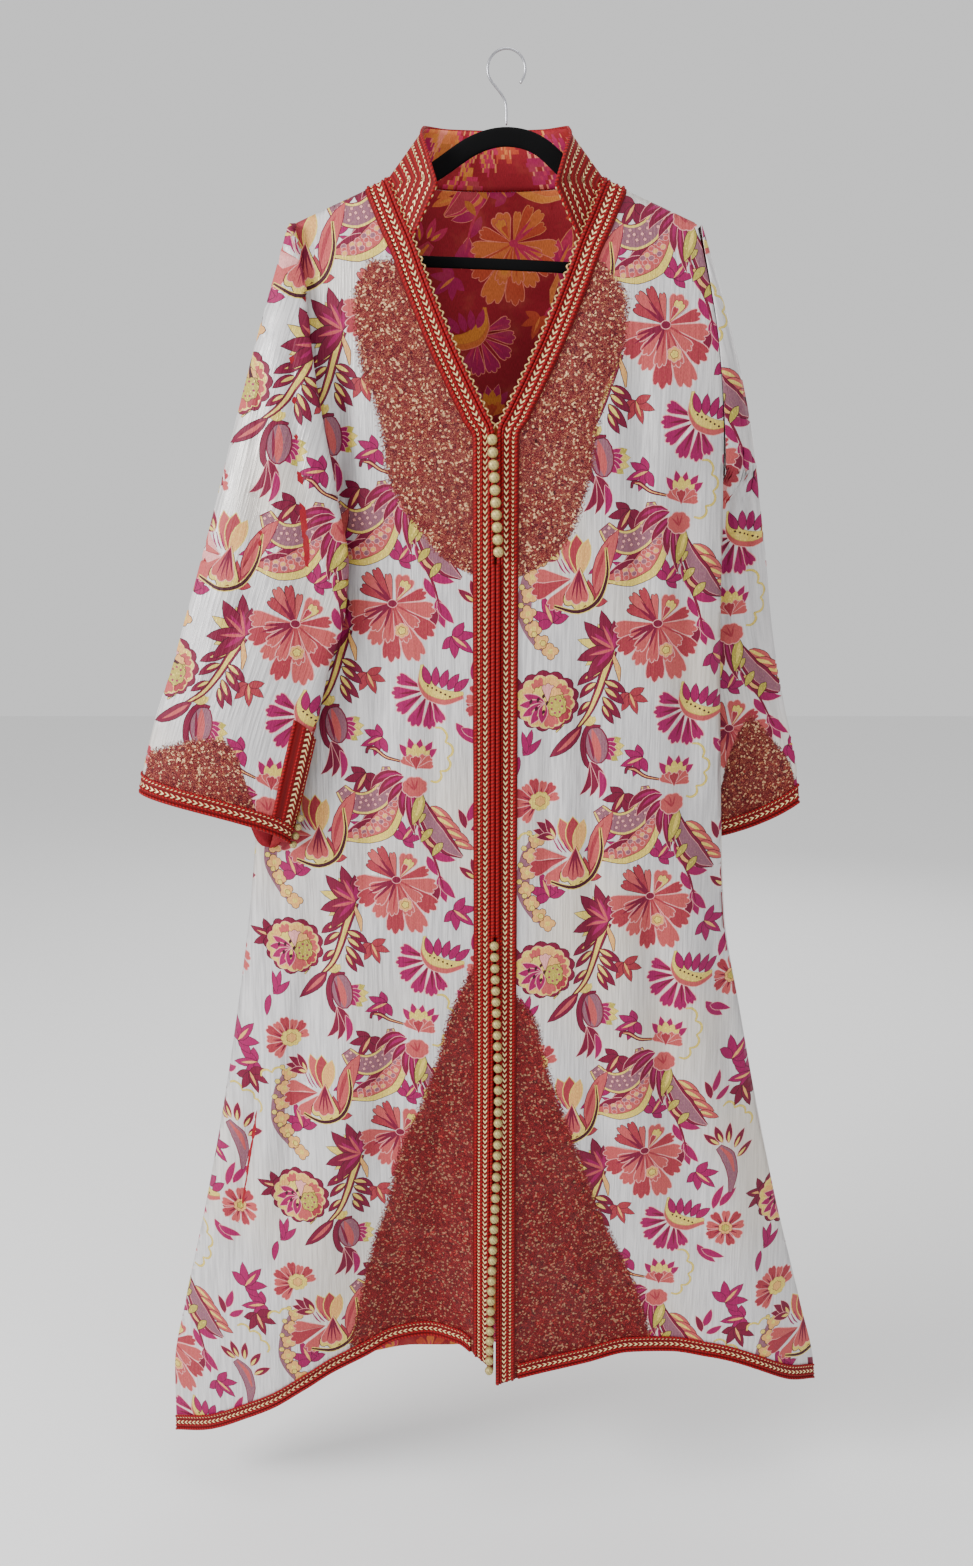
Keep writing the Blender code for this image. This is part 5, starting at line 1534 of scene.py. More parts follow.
class Looks:
    """One material, built on its Principled shader."""

    def __init__(self, name, **fixed):
        self.material = bpy.data.materials.new(name)
        self.material.use_nodes = True
        self.nodes = self.material.node_tree.nodes
        self.links = self.material.node_tree.links
        self.shader = self.nodes["Principled BSDF"]
        for socket, value in fixed.items():
            self.shader.inputs[socket.replace("_", " ").title().replace("Ior", "IOR")].default_value = value

    def node(self, kind, settings=None, inputs=(), output=0):
        """Any other node: its settings first, then the values or links of its sockets."""
        made = self.nodes.new(kind)
        for name, value in (settings or {}).items():
            if name != "stops":
                setattr(made, name, value)
                continue
            ramp = made.color_ramp
            while len(ramp.elements) < len(value):
                ramp.elements.new(0.5)
            for element, (place, colour) in zip(ramp.elements, value):
                element.position = place
                element.color = (*linear(colour), 1)
        pairs = inputs.items() if isinstance(inputs, dict) else enumerate(inputs)
        for key, value in pairs:
            socket = made.inputs[key]
            if isinstance(value, Value):
                self.links.new(value.socket, socket)
            elif value is not None:
                socket.default_value = value
        return Value(self, made.outputs[output])

    def mix(self, share, first, second, blend="MIX"):
        """One colour over another."""
        colours = [(*linear(c), 1) if isinstance(c, tuple) else c for c in (first, second)]
        inputs = {0: share, 6: colours[0], 7: colours[1]}
        return self.node("ShaderNodeMix", {"data_type": "RGBA", "blend_type": blend}, inputs, 2)

    def coordinates(self, name="cloth"):
        """A UV map of the piece, or Object coordinates where no name is given."""
        if name:
            return self.node("ShaderNodeUVMap", {"uv_map": name})
        return self.node("ShaderNodeTexCoord", output=3)

    def mapped(self, where, scale):
        return self.node("ShaderNodeMapping", None, {0: where, 3: scale})

    def noise(self, where, scale, detail=2.0, rough=0.5, output=0, bend=0.0):
        inputs = {"Vector": where, "Scale": scale, "Detail": detail, "Roughness": rough, "Distortion": bend}
        return self.node("ShaderNodeTexNoise", None, inputs, output)

    def cells(self, where, scale):
        """A colour of its own for every cell."""
        return self.node("ShaderNodeTexVoronoi", None, {"Vector": where, "Scale": scale}, 1)

    def ramp(self, value, *stops):
        return self.node("ShaderNodeValToRGB", {"stops": stops}, (value,))

    def attribute(self, name, output=0):
        return self.node("ShaderNodeAttribute", {"attribute_name": name}, output=output)

    def split(self, vector):
        made = self.node("ShaderNodeSeparateXYZ", None, (vector,))
        others = made.socket.node.outputs[1:]
        return made, Value(self, others[0]), Value(self, others[1])

    def bump(self, height, distance, strength):
        inputs = {"Height": height, "Distance": distance, "Strength": strength}
        return self.node("ShaderNodeBump", None, inputs)

    def into(self, **sockets):
        for name, value in sockets.items():
            self.links.new(value.socket, self.shader.inputs[name.replace("_", " ").title()])
        return self.material


# Colours of the glitter's threads, along a ramp from the darkest crimson to gold and back
WORM_COLOURS = (
    (0.0, (0.18, 0.0, 0.05)),
    (0.26, (0.36, 0.0, 0.08)),
    (0.42, (0.42, 0.01, 0.08)),
    (0.535, (0.44, 0.05, 0.10)),
    (0.585, (0.87, 0.60, 0.45)),
    (0.62, (0.40, 0.02, 0.09)),
    (0.76, (0.34, 0.0, 0.09)),
    (0.90, (0.60, 0.18, 0.16)),
    (0.95, (0.92, 0.68, 0.44)),
    (1.0, (0.38, 0.01, 0.11)),
)
# Towards the skirt the glitter is tinted more crimson and less gold than on the chest
SKIRT_GLITTER = (0.90, 0.42, 0.56)


def glitter_worms(looks, where):
    """Short curled threads and sequins, each of its own colour: their colour and their height."""
    bent = looks.noise(where, 260.0, 1.0, 0.5, output=1)
    moved = looks.node("ShaderNodeMix", {"data_type": "VECTOR"}, {0: 0.012, 4: where, 5: bent}, 1)
    threads = looks.noise(moved, 330.0, 1.0, 0.5, bend=1.6)
    tint = looks.cells(moved, 260.0)
    pick = looks.split(tint)[0]
    mixed = ((threads - 0.5) * 3.4 + 0.5).most(0.0).least(1.0) * 0.8 + pick * 0.2
    return looks.ramp(mixed, *WORM_COLOURS), threads


def cloth_face():
    """Satin ground with crinkles along the warp, raised brocade threads and dense glitter, with painted shade
    along the crinkles, painted warm sheen, and painted glints and sparkles in the colour.
    """
    looks = Looks("brocade_face", specular_ior_level=0.28)
    where = looks.coordinates()
    dye = looks.attribute("dye")
    raised, metal, _ = looks.split(looks.attribute("thread"))
    long_lines = looks.noise(looks.mapped(where, (1, 0.05, 1)), 330.0, 2.0, 0.6)
    broad = looks.noise(looks.mapped(where, (1, 0.12, 1)), 60.0, 2.0, 0.5)
    patchy = looks.noise(where, 9.0, 2.0, 0.5).step(0.35, 0.65)
    weave = looks.noise(looks.mapped(where, (1, 0.25, 1)), 1500.0, 1.0, 0.5)
    lines = long_lines.step(0.32, 0.72)
    # Painted shade: the ground turns darker grey along the crinkle lines, mixed with the weave's own tone.
    ground = looks.mix((lines * 0.5 + weave * 0.5) * 0.5, (0.84, 0.83, 0.83), (0.50, 0.49, 0.51))
    # Warm patches of the ground: partly the gold thread's own tone, partly painted sheen of the metal thread.
    warm_tone_and_sheen = looks.noise(where, 4.0, 1.0, 0.5).step(0.45, 0.7)
    ground = looks.mix(warm_tone_and_sheen * 0.45, ground, (0.84, 0.78, 0.68))
    threads = looks.mix(weave.step(0.3, 0.7) * 0.35, dye, looks.mix(1.0, dye, (0.55, 0.42, 0.45), "MULTIPLY"))
    # Painted glints: the metal threads turn bright pale gold in short streaks.
    glint = looks.noise(looks.mapped(where, (1, 0.3, 1)), 900.0, 1.0, 0.5).step(0.60, 0.68)
    threads = looks.mix(glint * metal * 0.7, threads, (0.98, 0.90, 0.50))
    colour = looks.mix(raised, ground, threads)
    worm_colour, worm_height = glitter_worms(looks, where)
    depth = looks.attribute("glitter", 2)
    ragged = looks.noise(where, 420.0, 2.0, 0.6)
    glitter = (depth * 140 + (ragged - 0.5) * 3.2).step(-0.35, 0.35)
    on_skirt = (looks.split(where)[1] * -1).step(0.75, 1.0)
    worm_colour = looks.mix(on_skirt, worm_colour, looks.mix(1.0, worm_colour, SKIRT_GLITTER, "MULTIPLY"))
    colour = looks.mix(glitter, colour, worm_colour)
    # Painted sparkle: bright gold-white specks on the glitter, fewer on the skirt.
    sparkle = looks.cells(where, 520.0)
    bright = looks.split(sparkle)[0].step(0.87, 0.92) * glitter * (1 - on_skirt * 0.6)
    colour = looks.mix(bright * 0.7, colour, (0.97, 0.80, 0.60))
    shine = (metal * glint * 0.6 + bright * 0.7 + (1 - raised) * (1 - glitter) * lines * 0.45).least(1.0)
    rough = 0.40 + raised * 0.2 - metal * 0.1 + glitter * 0.16 - bright * 0.25
    height = lines * 0.35 + broad * 1.3 * (0.4 + patchy * 0.6) + raised * 0.5 + weave * 0.12
    height = height * (1 - glitter) + (worm_height * 1.6 + 0.8) * glitter
    normal = looks.bump(height, 0.0012, 0.9)
    return looks.into(base_color=colour, roughness=rough, metallic=shine, normal=normal)


def cloth_reverse():
    """The reverse of the brocade: crimson floats with tan and magenta shapes."""
    looks = Looks("brocade_reverse", specular_ior_level=0.25)
    where = looks.coordinates()
    dye = looks.attribute("dye")
    weave = looks.noise(looks.mapped(where, (1, 0.2, 1)), 1300.0, 1.0, 0.5)
    blotch = looks.noise(where, 24.0, 3.0, 0.6)
    other = looks.mix(1.0, dye, (0.72, 0.55, 0.55), "MULTIPLY")
    colour = looks.mix(weave.step(0.3, 0.7) * 0.5, dye, other)
    colour = looks.mix(blotch.step(0.5, 0.8) * 0.25, colour, (0.80, 0.40, 0.28))
    rough = 0.62 + weave * 0.1
    return looks.into(base_color=colour, roughness=rough, normal=looks.bump(weave, 0.0004, 0.7))


# Rows of gold chevrons on the braid and on the collar: middle from the edge, half width, pitch, in metres
BRAID_ROWS = ((0.0102, 0.0025, 0.0066), (0.0174, 0.0014, 0.0048))
COLLAR_ROWS_OF_GOLD = (
    (0.0075, 0.0014, 0.0048), (0.017, 0.0024, 0.0066), (0.0275, 0.0013, 0.0048),
    (0.038, 0.0024, 0.0066), (0.0485, 0.0014, 0.0048),
)


def braid_red(name, rows):
    """Corded red braid with rows of gold chevrons; across runs from the garment's centre outwards."""
    looks = Looks(name, specular_ior_level=0.2)
    where = looks.coordinates("braid")
    across, along_it, _ = looks.split(where)
    gold = None
    for middle, half, pitch in rows:
        off = (across - middle).size()
        inside_row = 1 - off.step(half - 0.0003, half)
        stroke = ((along_it + off * 1.5) * (1 / pitch)).part()
        mark = (1 - (stroke - 0.5).size().step(0.15, 0.25)) * inside_row
        gold = mark if gold is None else gold.most(mark)
    fibre = looks.noise(looks.mapped(where, (3, 1, 1)), 900.0, 2.0, 0.6)
    red = looks.mix(fibre, (0.30, 0.0, 0.01), (0.62, 0.0, 0.04))
    ridge = (across * 1250).sine() * 0.5 + 0.5
    # Painted shade: the red is darkened in the grooves between the braid's ridges.
    red = looks.mix((1 - ridge) * 0.55, red, (0.16, 0.0, 0.01))
    colour = looks.mix(gold, red, (0.95, 0.86, 0.62))
    rough = 0.66 - gold * 0.3
    height = ridge * 0.7 + gold * 0.8 + fibre * 0.25
    normal = looks.bump(height, 0.0007, 0.9)
    return looks.into(base_color=colour, roughness=rough, metallic=gold * 0.45, normal=normal)


def twisted_cord(name, dark, light, shine):
    """Twisted cord: along runs down its length and across round it. Its colour has painted shade in the
    twist's grooves and painted highlight on its crowns.
    """
    looks = Looks(name, specular_ior_level=0.22)
    where = looks.coordinates("braid")
    across, along_it, _ = looks.split(where)
    twist = ((along_it * 1500) + across * 6.2832).sine() * 0.5 + 0.5
    fibre = looks.noise(where, 1400.0, 1.0, 0.5)
    # Painted shade and highlight: dark in the grooves between the plies, light on their crowns.
    colour = looks.mix((twist * 0.7 + fibre * 0.3), dark, light)
    rough = 0.62 - twist * 0.12 * shine
    normal = looks.bump(twist + fibre * 0.3, 0.0004, 0.8)
    return looks.into(base_color=colour, roughness=rough, metallic=twist * shine, normal=normal)


def gold_thread():
    """Pale greenish gold thread in knots."""
    looks = Looks("gold_thread", specular_ior_level=0.5)
    where = looks.coordinates(None)
    fibre = looks.noise(where, 1800.0, 2.0, 0.6)
    deep = looks.attribute("relief", 2)
    # Painted shade: the gold is darkened where the ball's relief sinks between its strands.
    colour = looks.mix(deep * 0.7 + fibre * 0.3, (0.30, 0.22, 0.08), (0.86, 0.79, 0.52))
    rough = 0.40 + fibre * 0.2
    normal = looks.bump(fibre, 0.0003, 0.6)
    return looks.into(base_color=colour, roughness=rough, metallic=deep * 0.75, normal=normal)


def flocked_black():
    looks = Looks("black_flock", specular_ior_level=0.1)
    where = looks.coordinates(None)
    nap = looks.noise(where, 1600.0, 2.0, 0.6)
    wear = looks.noise(where, 30.0, 3.0, 0.6)
    colour = looks.mix(nap * 0.6 + wear * 0.4, (0.01, 0.01, 0.012), (0.05, 0.05, 0.055))
    rough = 0.82 + nap * 0.12
    return looks.into(base_color=colour, roughness=rough, normal=looks.bump(nap, 0.0003, 0.7))


def steel_wire():
    looks = Looks("steel_wire", specular_ior_level=0.5)
    where = looks.coordinates(None)
    scratch = looks.noise(looks.mapped(where, (1, 1, 0.1)), 900.0, 3.0, 0.6)
    colour = looks.mix(scratch, (0.55, 0.55, 0.57), (0.80, 0.80, 0.82))
    metal = 0.96 + scratch * 0.04
    return looks.into(base_color=colour, roughness=0.2 + scratch * 0.2, metallic=metal)


CLOTH_FACE = cloth_face()
CLOTH_REVERSE = cloth_reverse()
BRAID_RED = braid_red("red_braid", BRAID_ROWS)
COLLAR_BRAID = braid_red("collar_braid", COLLAR_ROWS_OF_GOLD)
# Each cord's first colour is the painted shade in the twist's grooves, the second its lit crown.
RED_CORD = twisted_cord("red_cord", (0.26, 0.0, 0.01), (0.64, 0.0, 0.04), 0.0)
PICOT_CORD = twisted_cord("picot_cord", (0.50, 0.32, 0.16), (0.90, 0.80, 0.56), 0.5)
GOLD_THREAD = gold_thread()
BLACK_FLOCK = flocked_black()
STEEL_WIRE = steel_wire()


def run_along(points):
    """How far along a line each of its points lies."""
    return np.concatenate([[0], np.cumsum(np.linalg.norm(np.diff(points, axis=0), axis=1))])


def tube_mesh(name, rings):
    """A round tube through rings of points, with a UV map: round it, and along it in metres."""
    count, sides = rings.shape[:2]
    faces = grid_faces(count, sides, closed=True)
    faces += [tuple(range(sides))[::-1], tuple(range((count - 1) * sides, count * sides))]
    mesh = bpy.data.meshes.new(name)
    mesh.from_pydata((rings.reshape(-1, 3) * MM).tolist(), [], faces)
    run = run_along(rings.mean(axis=1))
    round_share = np.linspace(0, 1, sides, endpoint=False)
    uv = np.stack(np.broadcast_arrays(round_share[None, :], run[:, None] * MM), axis=-1).reshape(-1, 2)
    add_uv(mesh, uv, "braid")
    return mesh


def grid_border(rows, columns):
    """The points on the border of a grid, once round."""
    around = [(0, j) for j in range(columns)]
    around += [(i, columns - 1) for i in range(1, rows)]
    around += [(rows - 1, j) for j in range(columns - 2, -1, -1)]
    around += [(i, 0) for i in range(rows - 2, 0, -1)]
    return [i * columns + j for i, j in around]


def grid_faces(rows, columns, closed=False):
    """Four-sided faces between the points of a grid, closed across where it goes round."""
    faces = []
    for i in range(rows - 1):
        for j in range(columns - 1 + closed):
            k = (j + 1) % columns
            faces.append((i * columns + j, i * columns + k, (i + 1) * columns + k, (i + 1) * columns + j))
    return faces


def rings_along(path, up, radius, sides=6):
    """Rings round a path, each square to it; up is the cloth's normal at each point."""
    ahead = np.gradient(path, axis=0)
    ahead = ahead / np.linalg.norm(ahead, axis=1, keepdims=True)
    across = np.cross(ahead, up)
    across = across / np.maximum(np.linalg.norm(across, axis=1, keepdims=True), 1e-9)
    rise = np.cross(across, ahead)
    angles = np.linspace(0, 2 * math.pi, sides, endpoint=False)
    turn = across[:, None] * np.cos(angles)[:, None] + rise[:, None] * np.sin(angles)[:, None]
    return path[:, None] + turn * radius


def join_meshes(name, meshes, material):
    """One piece from several meshes that belong together."""
    shape = bmesh.new()
    for mesh in meshes:
        shape.from_mesh(mesh)
    bmesh.ops.recalc_face_normals(shape, faces=shape.faces)
    made = bpy.data.meshes.new(name)
    shape.to_mesh(made)
    shape.free()
    for mesh in meshes:
        bpy.data.meshes.remove(mesh)
    return new_piece(name, made, material)


def normals_of(surface, s, t, outward):
    return (lifted(surface, s, t, 1.0) - surface(s, t)) * outward


# Braid laid on a panel's edge: across, in millimetres from its inner edge, each cord's middle and radius
FRONT_CORDS = ((2.2, 2.2), (5.8, 1.5), (14.0, 1.3), (20.6, 1.9))
BRAID_HIGH = 1.0
# Braid of the fronts: its width, and the rows and columns of its mesh
FRONT_BRAID_WIDE, FRONT_BRAID_ROWS, FRONT_BRAID_COLUMNS = 24.0, 420, 9
EDGE_SAMPLES = 600


def braid_strip(name, base, normal, outward_share, wide, thick=1.1):
    """A flat closed band: rows along the edge, columns across it, with the braid's own coordinates."""
    rows, columns = base.shape[:2]
    crown = thick * (0.55 + 0.45 * np.sin(math.pi * np.linspace(0.06, 0.94, columns)))
    upper = base + normal * (LAY_GAP + crown[None, :, None])
    lower = base + normal * LAY_GAP * 0.5
    border = grid_border(rows, columns)
    count = rows * columns
    faces = [face[::-1] for face in grid_faces(rows, columns)]
    faces += [tuple(count + k for k in face) for face in grid_faces(rows, columns)]
    faces += [(a, b, count + b, count + a) for a, b in zip(border, border[1:] + border[:1])]
    mesh = bpy.data.meshes.new(name)
    both = np.concatenate([lower.reshape(-1, 3), upper.reshape(-1, 3)])
    mesh.from_pydata((both * MM).tolist(), [], faces)
    run = run_along(base[:, 0])
    across = np.broadcast_to(outward_share * wide, (rows, columns))
    uv = np.stack(np.broadcast_arrays(across, run[:, None]), axis=-1).reshape(-1, 2) * MM
    add_uv(mesh, np.concatenate([uv, uv]), "braid")
    return mesh


def even_rows(surface, count, end=1.0):
    """Values of t that lie evenly down a front's edge to an end, and how long that edge is."""
    fine = np.linspace(0.0, end, EDGE_SAMPLES)
    run = run_along(surface(np.zeros(EDGE_SAMPLES), fine))
    return np.interp(np.linspace(0, run[-1], count), run, fine), run[-1]


def band_share(side, t, millimetres):
    """The s of points that lie a given way outwards from the edge of a front."""
    hem = HEM[side]
    edge_z = NECK_Z + (hem["z"][0] - NECK_Z) * t
    seam_z = TIP_Z + (hem["z"][-1] - TIP_Z) * t
    edge_x = read(NECKLINE, "edge", edge_z)
    slope = (read(NECKLINE, "edge", edge_z + 4) - read(NECKLINE, "edge", edge_z - 4)) / 8
    reach = np.sqrt(1 + slope**2)
    return millimetres * reach / (side_x(side, seam_z) - edge_x)


def make_front_braid(side):
    """Braid, cords and picot edge down one front, from the neck to the hem."""
    surface = lambda s, t: front_point(side, s, t)
    outward = -side
    name = f"front_braid_{side_name(side)}"
    wide = FRONT_BRAID_WIDE
    t = even_rows(surface, FRONT_BRAID_ROWS)[0]
    across = np.linspace(0.2, wide, FRONT_BRAID_COLUMNS)
    t_grid, off = np.meshgrid(t, across, indexing="ij")
    s = band_share(side, t_grid, off)
    base = lifted(surface, s, t_grid, outward * WALL)
    normal = normals_of(surface, s, t_grid, outward)
    strip = new_piece(name + "_band", braid_strip(name, base, normal, across / wide, wide), BRAID_RED)
    cords = []
    for middle, radius in FRONT_CORDS:
        s = band_share(side, t, middle)
        up = normals_of(surface, s, t, outward)
        path = surface(s, t) + up * (WALL + LAY_GAP + BRAID_HIGH)
        cords.append(tube_mesh("cord", rings_along(path, up, radius)))
    cord = join_meshes(name + "_cords", cords, RED_CORD)
    picot = make_picot(side, surface, outward)
    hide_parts(name)
    return [strip, cord, picot]


# Picot edge: how long and how wide its waves are, its cord's radius, and where it ends
PICOT_PITCH, PICOT_SWING, PICOT_RADIUS, PICOT_END_Z = 8.5, 1.5, 0.95, -385.0


def make_picot(side, surface, outward):
    """The wavy gold cord on the very edge of the neckline."""
    hem = HEM[side]
    end = (PICOT_END_Z - NECK_Z) / (hem["z"][0] - NECK_Z)
    count = int((NECK_Z - PICOT_END_Z) * 1.25 / PICOT_PITCH * 8)
    t, length = even_rows(surface, count, end)
    wave = np.sin(np.linspace(0, length, count) / PICOT_PITCH * 2 * math.pi)
    s = band_share(side, t, -0.6 + PICOT_SWING * wave)
    up = normals_of(surface, np.clip(s, 0, 1), t, outward)
    path = surface(s, t) + up * (WALL + LAY_GAP + 1.0)
    mesh = tube_mesh("picot", rings_along(path, up, PICOT_RADIUS, 6))
    return new_piece(f"picot_edge_{side_name(side)}", mesh, PICOT_CORD)


def strip_pieces(name, base, normal, wide, edges):
    """A band with a round cord along each given line across it."""
    shares = np.linspace(0, 1, BAND_COLUMNS)
    strip = new_piece(name + "_band", braid_strip(name, base, normal, shares, wide), BRAID_RED)
    cords = []
    for share, radius in edges:
        place = np.clip(share, 0, 1) * (base.shape[1] - 1)
        low = min(int(place), base.shape[1] - 2)
        part = place - low
        line = base[:, low] * (1 - part) + base[:, low + 1] * part
        up = normal[:, low] * (1 - part) + normal[:, low + 1] * part
        cords.append(tube_mesh("cord", rings_along(line + up * (LAY_GAP + BRAID_HIGH), up, radius)))
    cord = join_meshes(name + "_cords", cords, RED_CORD)
    stands_for(name)
    return [strip, cord]


# Braid of the hem and the cuffs: columns of its mesh, and each cord's place across it and radius
BAND_COLUMNS = 7
HEM_CORDS = ((0.05, 1.6), (0.3, 1.2), (0.95, 1.5))
CUFF_CORDS = ((0.05, 1.7), (0.3, 1.2), (0.95, 1.4))


def make_hem_braid(side):
    """Braid along the hem of one front, or of the back."""
    if side:
        surface, outward = (lambda s, t: front_point(side, s, t)), -side
        name, low, high, count = f"hem_braid_front_{side_name(side)}", 0.066, 1.0, 130
    else:
        surface, outward = back_point, 1
        name, low, high, count = "hem_braid_back", -1.0, 1.0, 240
    down = np.linspace(1.0, 1 - HEM_SHARE, BAND_COLUMNS)
    s, t = np.meshgrid(np.linspace(low, high, count), down, indexing="ij")
    base = lifted(surface, s, t, outward * WALL)
    return strip_pieces(name, base, normals_of(surface, s, t, outward), HEM_TRIM, HEM_CORDS)


def make_cuff_braid(side):
    """Braid round the cuff and up the outer edge of its slit."""
    surface = sleeve_surface(side)
    down = np.linspace(1.0, 1 - CUFF_SHARE, BAND_COLUMNS)
    up_the_slit = np.linspace(1 - CUFF_SHARE * 1.05, SLIT_SHARE + 0.02, SLIT_ROWS)
    places = {
        "cuff": np.meshgrid(np.linspace(*CUFF_SPAN, CUFF_ROWS), down, indexing="ij"),
        "slit": np.meshgrid(np.linspace(*SLIT_SPAN, BAND_COLUMNS), up_the_slit),
    }
    made = []
    for edge, (u, t) in places.items():
        base = lifted(surface, u, t, SLEEVE_OUTWARD * WALL)
        normal = normals_of(surface, u, t, SLEEVE_OUTWARD)
        made += strip_pieces(f"{edge}_braid_{side_name(side)}", base, normal, CUFF_TRIM, CUFF_CORDS)
    return made


# A sleeve's surface runs round the other way, so the sign of its outward normal is turned
SLEEVE_OUTWARD = -1
# Where round the sleeve the braid of the cuff and that of the slit lie, and the rows of their meshes
CUFF_SPAN, CUFF_ROWS = (0.53, 1.47), 200
SLIT_SPAN, SLIT_ROWS = (1.2727, 1.3636), 60

# The knotted ball of gold thread, modelled once: strands that wind each way, how fast they turn as
# they climb, and how deep the thread sinks between them as a share of the radius
BALL_STRANDS, BALL_TWIST, BALL_SINK = 4, 3.2, 0.13


def ball_mesh(radius, segments=20, rings=12):
    """A ball of plaited thread, its strands winding each way and crossing."""
    bpy.ops.mesh.primitive_uv_sphere_add(segments=segments, ring_count=rings, radius=1.0, location=(0, 0, 0))
    obj = bpy.context.object
    mesh = obj.data
    relief = []
    for vertex in mesh.vertices:
        x, y, z = vertex.co
        turn, rise = math.atan2(y, x), math.asin(max(-1.0, min(1.0, z)))
        one = math.sin(BALL_STRANDS * turn + BALL_TWIST * rise)
        other = math.sin(BALL_STRANDS * turn - BALL_TWIST * rise)
        high = max(abs(one), abs(other)) ** 1.5
        relief.append(high)
        vertex.co *= radius * (1 - BALL_SINK * (1 - high)) * MM
    layer = mesh.attributes.new("relief", "FLOAT", "POINT")
    layer.data.foreach_set("value", relief)
    made = mesh.copy()
    bpy.data.objects.remove(obj, do_unlink=True)
    return made


def place_mesh(mesh, centre, turn=0.0, flat=1.0):
    """A copy of a mesh moved to a place, its place kept in its points."""
    made = mesh.copy()
    points = np.empty(len(made.vertices) * 3)
    made.vertices.foreach_get("co", points)
    points = points.reshape(-1, 3)
    c, s = math.cos(turn), math.sin(turn)
    points = points @ np.array([[c, s, 0], [-s, c, 0], [0, 0, 1]])
    points[:, 2] *= flat
    made.vertices.foreach_set("co", (points + np.asarray(centre) * MM).ravel())
    made.update()
    return made


def over_braid(radius):
    """How far from the cloth's inner face the middle of a ball or cord that lies on the braid is."""
    return WALL + LAY_GAP + BRAID_THICK + SEAM_GAP + radius


def make_upper_buttons():
    ball = ball_mesh(UPPER_RADIUS)
    lift = over_braid(UPPER_RADIUS)
    for k, z in enumerate(np.linspace(UPPER_TOP_Z, UPPER_END_Z, UPPER_BUTTONS)):
        x = float(read(UPPER_DRIFT, "x", z))
        mesh = place_mesh(ball, on_opening(z, lift, x), 0.7 * k)
        obj = new_piece(f"ball_button_{k + 1:02d}", mesh, GOLD_THREAD)
        stands_for(f"button_{k + 1:02d}")


def make_lower_buttons():
    """The long row: knotted balls set close together, joined in one piece."""
    ball = ball_mesh(LOWER_RADIUS, 16, 10)
    pitch = (LOWER_TOP_Z - LOWER_END_Z) / (LOWER_BUTTONS - 1)
    meshes = []
    for k in range(LOWER_BUTTONS):
        z = LOWER_TOP_Z - k * pitch
        centre = on_opening(z, over_braid(LOWER_RADIUS), float(read(LOWER_DRIFT, "x", z)))
        meshes.append(place_mesh(ball, centre, 0.9 * k, 0.98))
    obj = join_meshes("ball_row_lower", meshes, GOLD_THREAD)
    stands_for("button_row_lower")


def make_cuff_buttons(side):
    """Balls on the fold of a sleeve, beside its slit."""
    rows = SLEEVE[side]
    facing = FRONT if side == RIGHT else BACK
    out = over_braid(CUFF_BUTTON_RADIUS) - CUFF_BUTTON_SEAT
    ball = ball_mesh(CUFF_BUTTON_RADIUS, 16, 10)
    for k in range(CUFF_BUTTONS):
        z = CUFF_Z[side][1] + CUFF_BUTTON_LOWEST[side] + k * CUFF_BUTTON_PITCH
        inner = float(read(rows, "inner", z))
        under = along(side, facing, inner + 6, z, SLEEVE_CLEAR)[1]
        depth = (under + float(read(rows, "far", z))) / 2
        centre = np.array([CENTRE_X + side * (inner - out), facing * depth, z])
        name = f"cuff_button_{side_name(side)}_{k + 1}"
        obj = new_piece("ball_" + name, place_mesh(ball, centre, 0.8 * k), GOLD_THREAD)
        stands_for(name)


def make_piping(side):
    """Two round red cords down the opening between the buttons."""
    lift = over_braid(PIPING_RADIUS)
    heights = np.linspace(PIPING_TOP_Z, PIPING_END_Z, PIPING_RINGS)
    path = np.array([on_opening(z, lift, side * (PIPING_RADIUS + SEAM_GAP)) for z in heights])
    up = np.tile([0.0, -1.0, 0.0], (len(path), 1))
    mesh = tube_mesh("piping", rings_along(path, up, PIPING_RADIUS, 8))
    obj = new_piece(f"piping_cord_{side_name(side)}", mesh, RED_CORD)
    stands_for(f"opening_piping_{side_name(side)}")


# Cords of the collar: radius along its base and along its other edges, how far the first stand off, and
# the points of a cord and of a picot edge down its front
COLLAR_BASE_CORD, COLLAR_CORD, COLLAR_CORD_LIFT = 1.5, 1.9, 1.2
COLLAR_CORD_POINTS, COLLAR_PICOT_POINTS = 30, 74
# Collar: rows and columns of its mesh
COLLAR_ROWS, COLLAR_WIDE = 14, 220


def collar_grid(shares, rows):
    base = base_of_collar(shares)
    middle = np.array([CENTRE_X, 0, 0])
    inward = (middle - base) * np.array([1, 1, 0])
    inward = inward / np.linalg.norm(inward, axis=1, keepdims=True)
    base = base + inward * 0.8 + np.array([0, 0, COLLAR_LIFT])
    half = 1 - np.abs(1 - 2 * shares)
    sign = np.sign(shares - 0.5)
    top = np.stack([CENTRE_X + sign * read(COLLAR_TOP, "x", half), read(COLLAR_TOP, "y", half),
                    read(COLLAR_TOP, "z", half)], axis=1)
    rows = rows[:, None, None]
    return base[None] * (1 - rows) + top[None] * rows


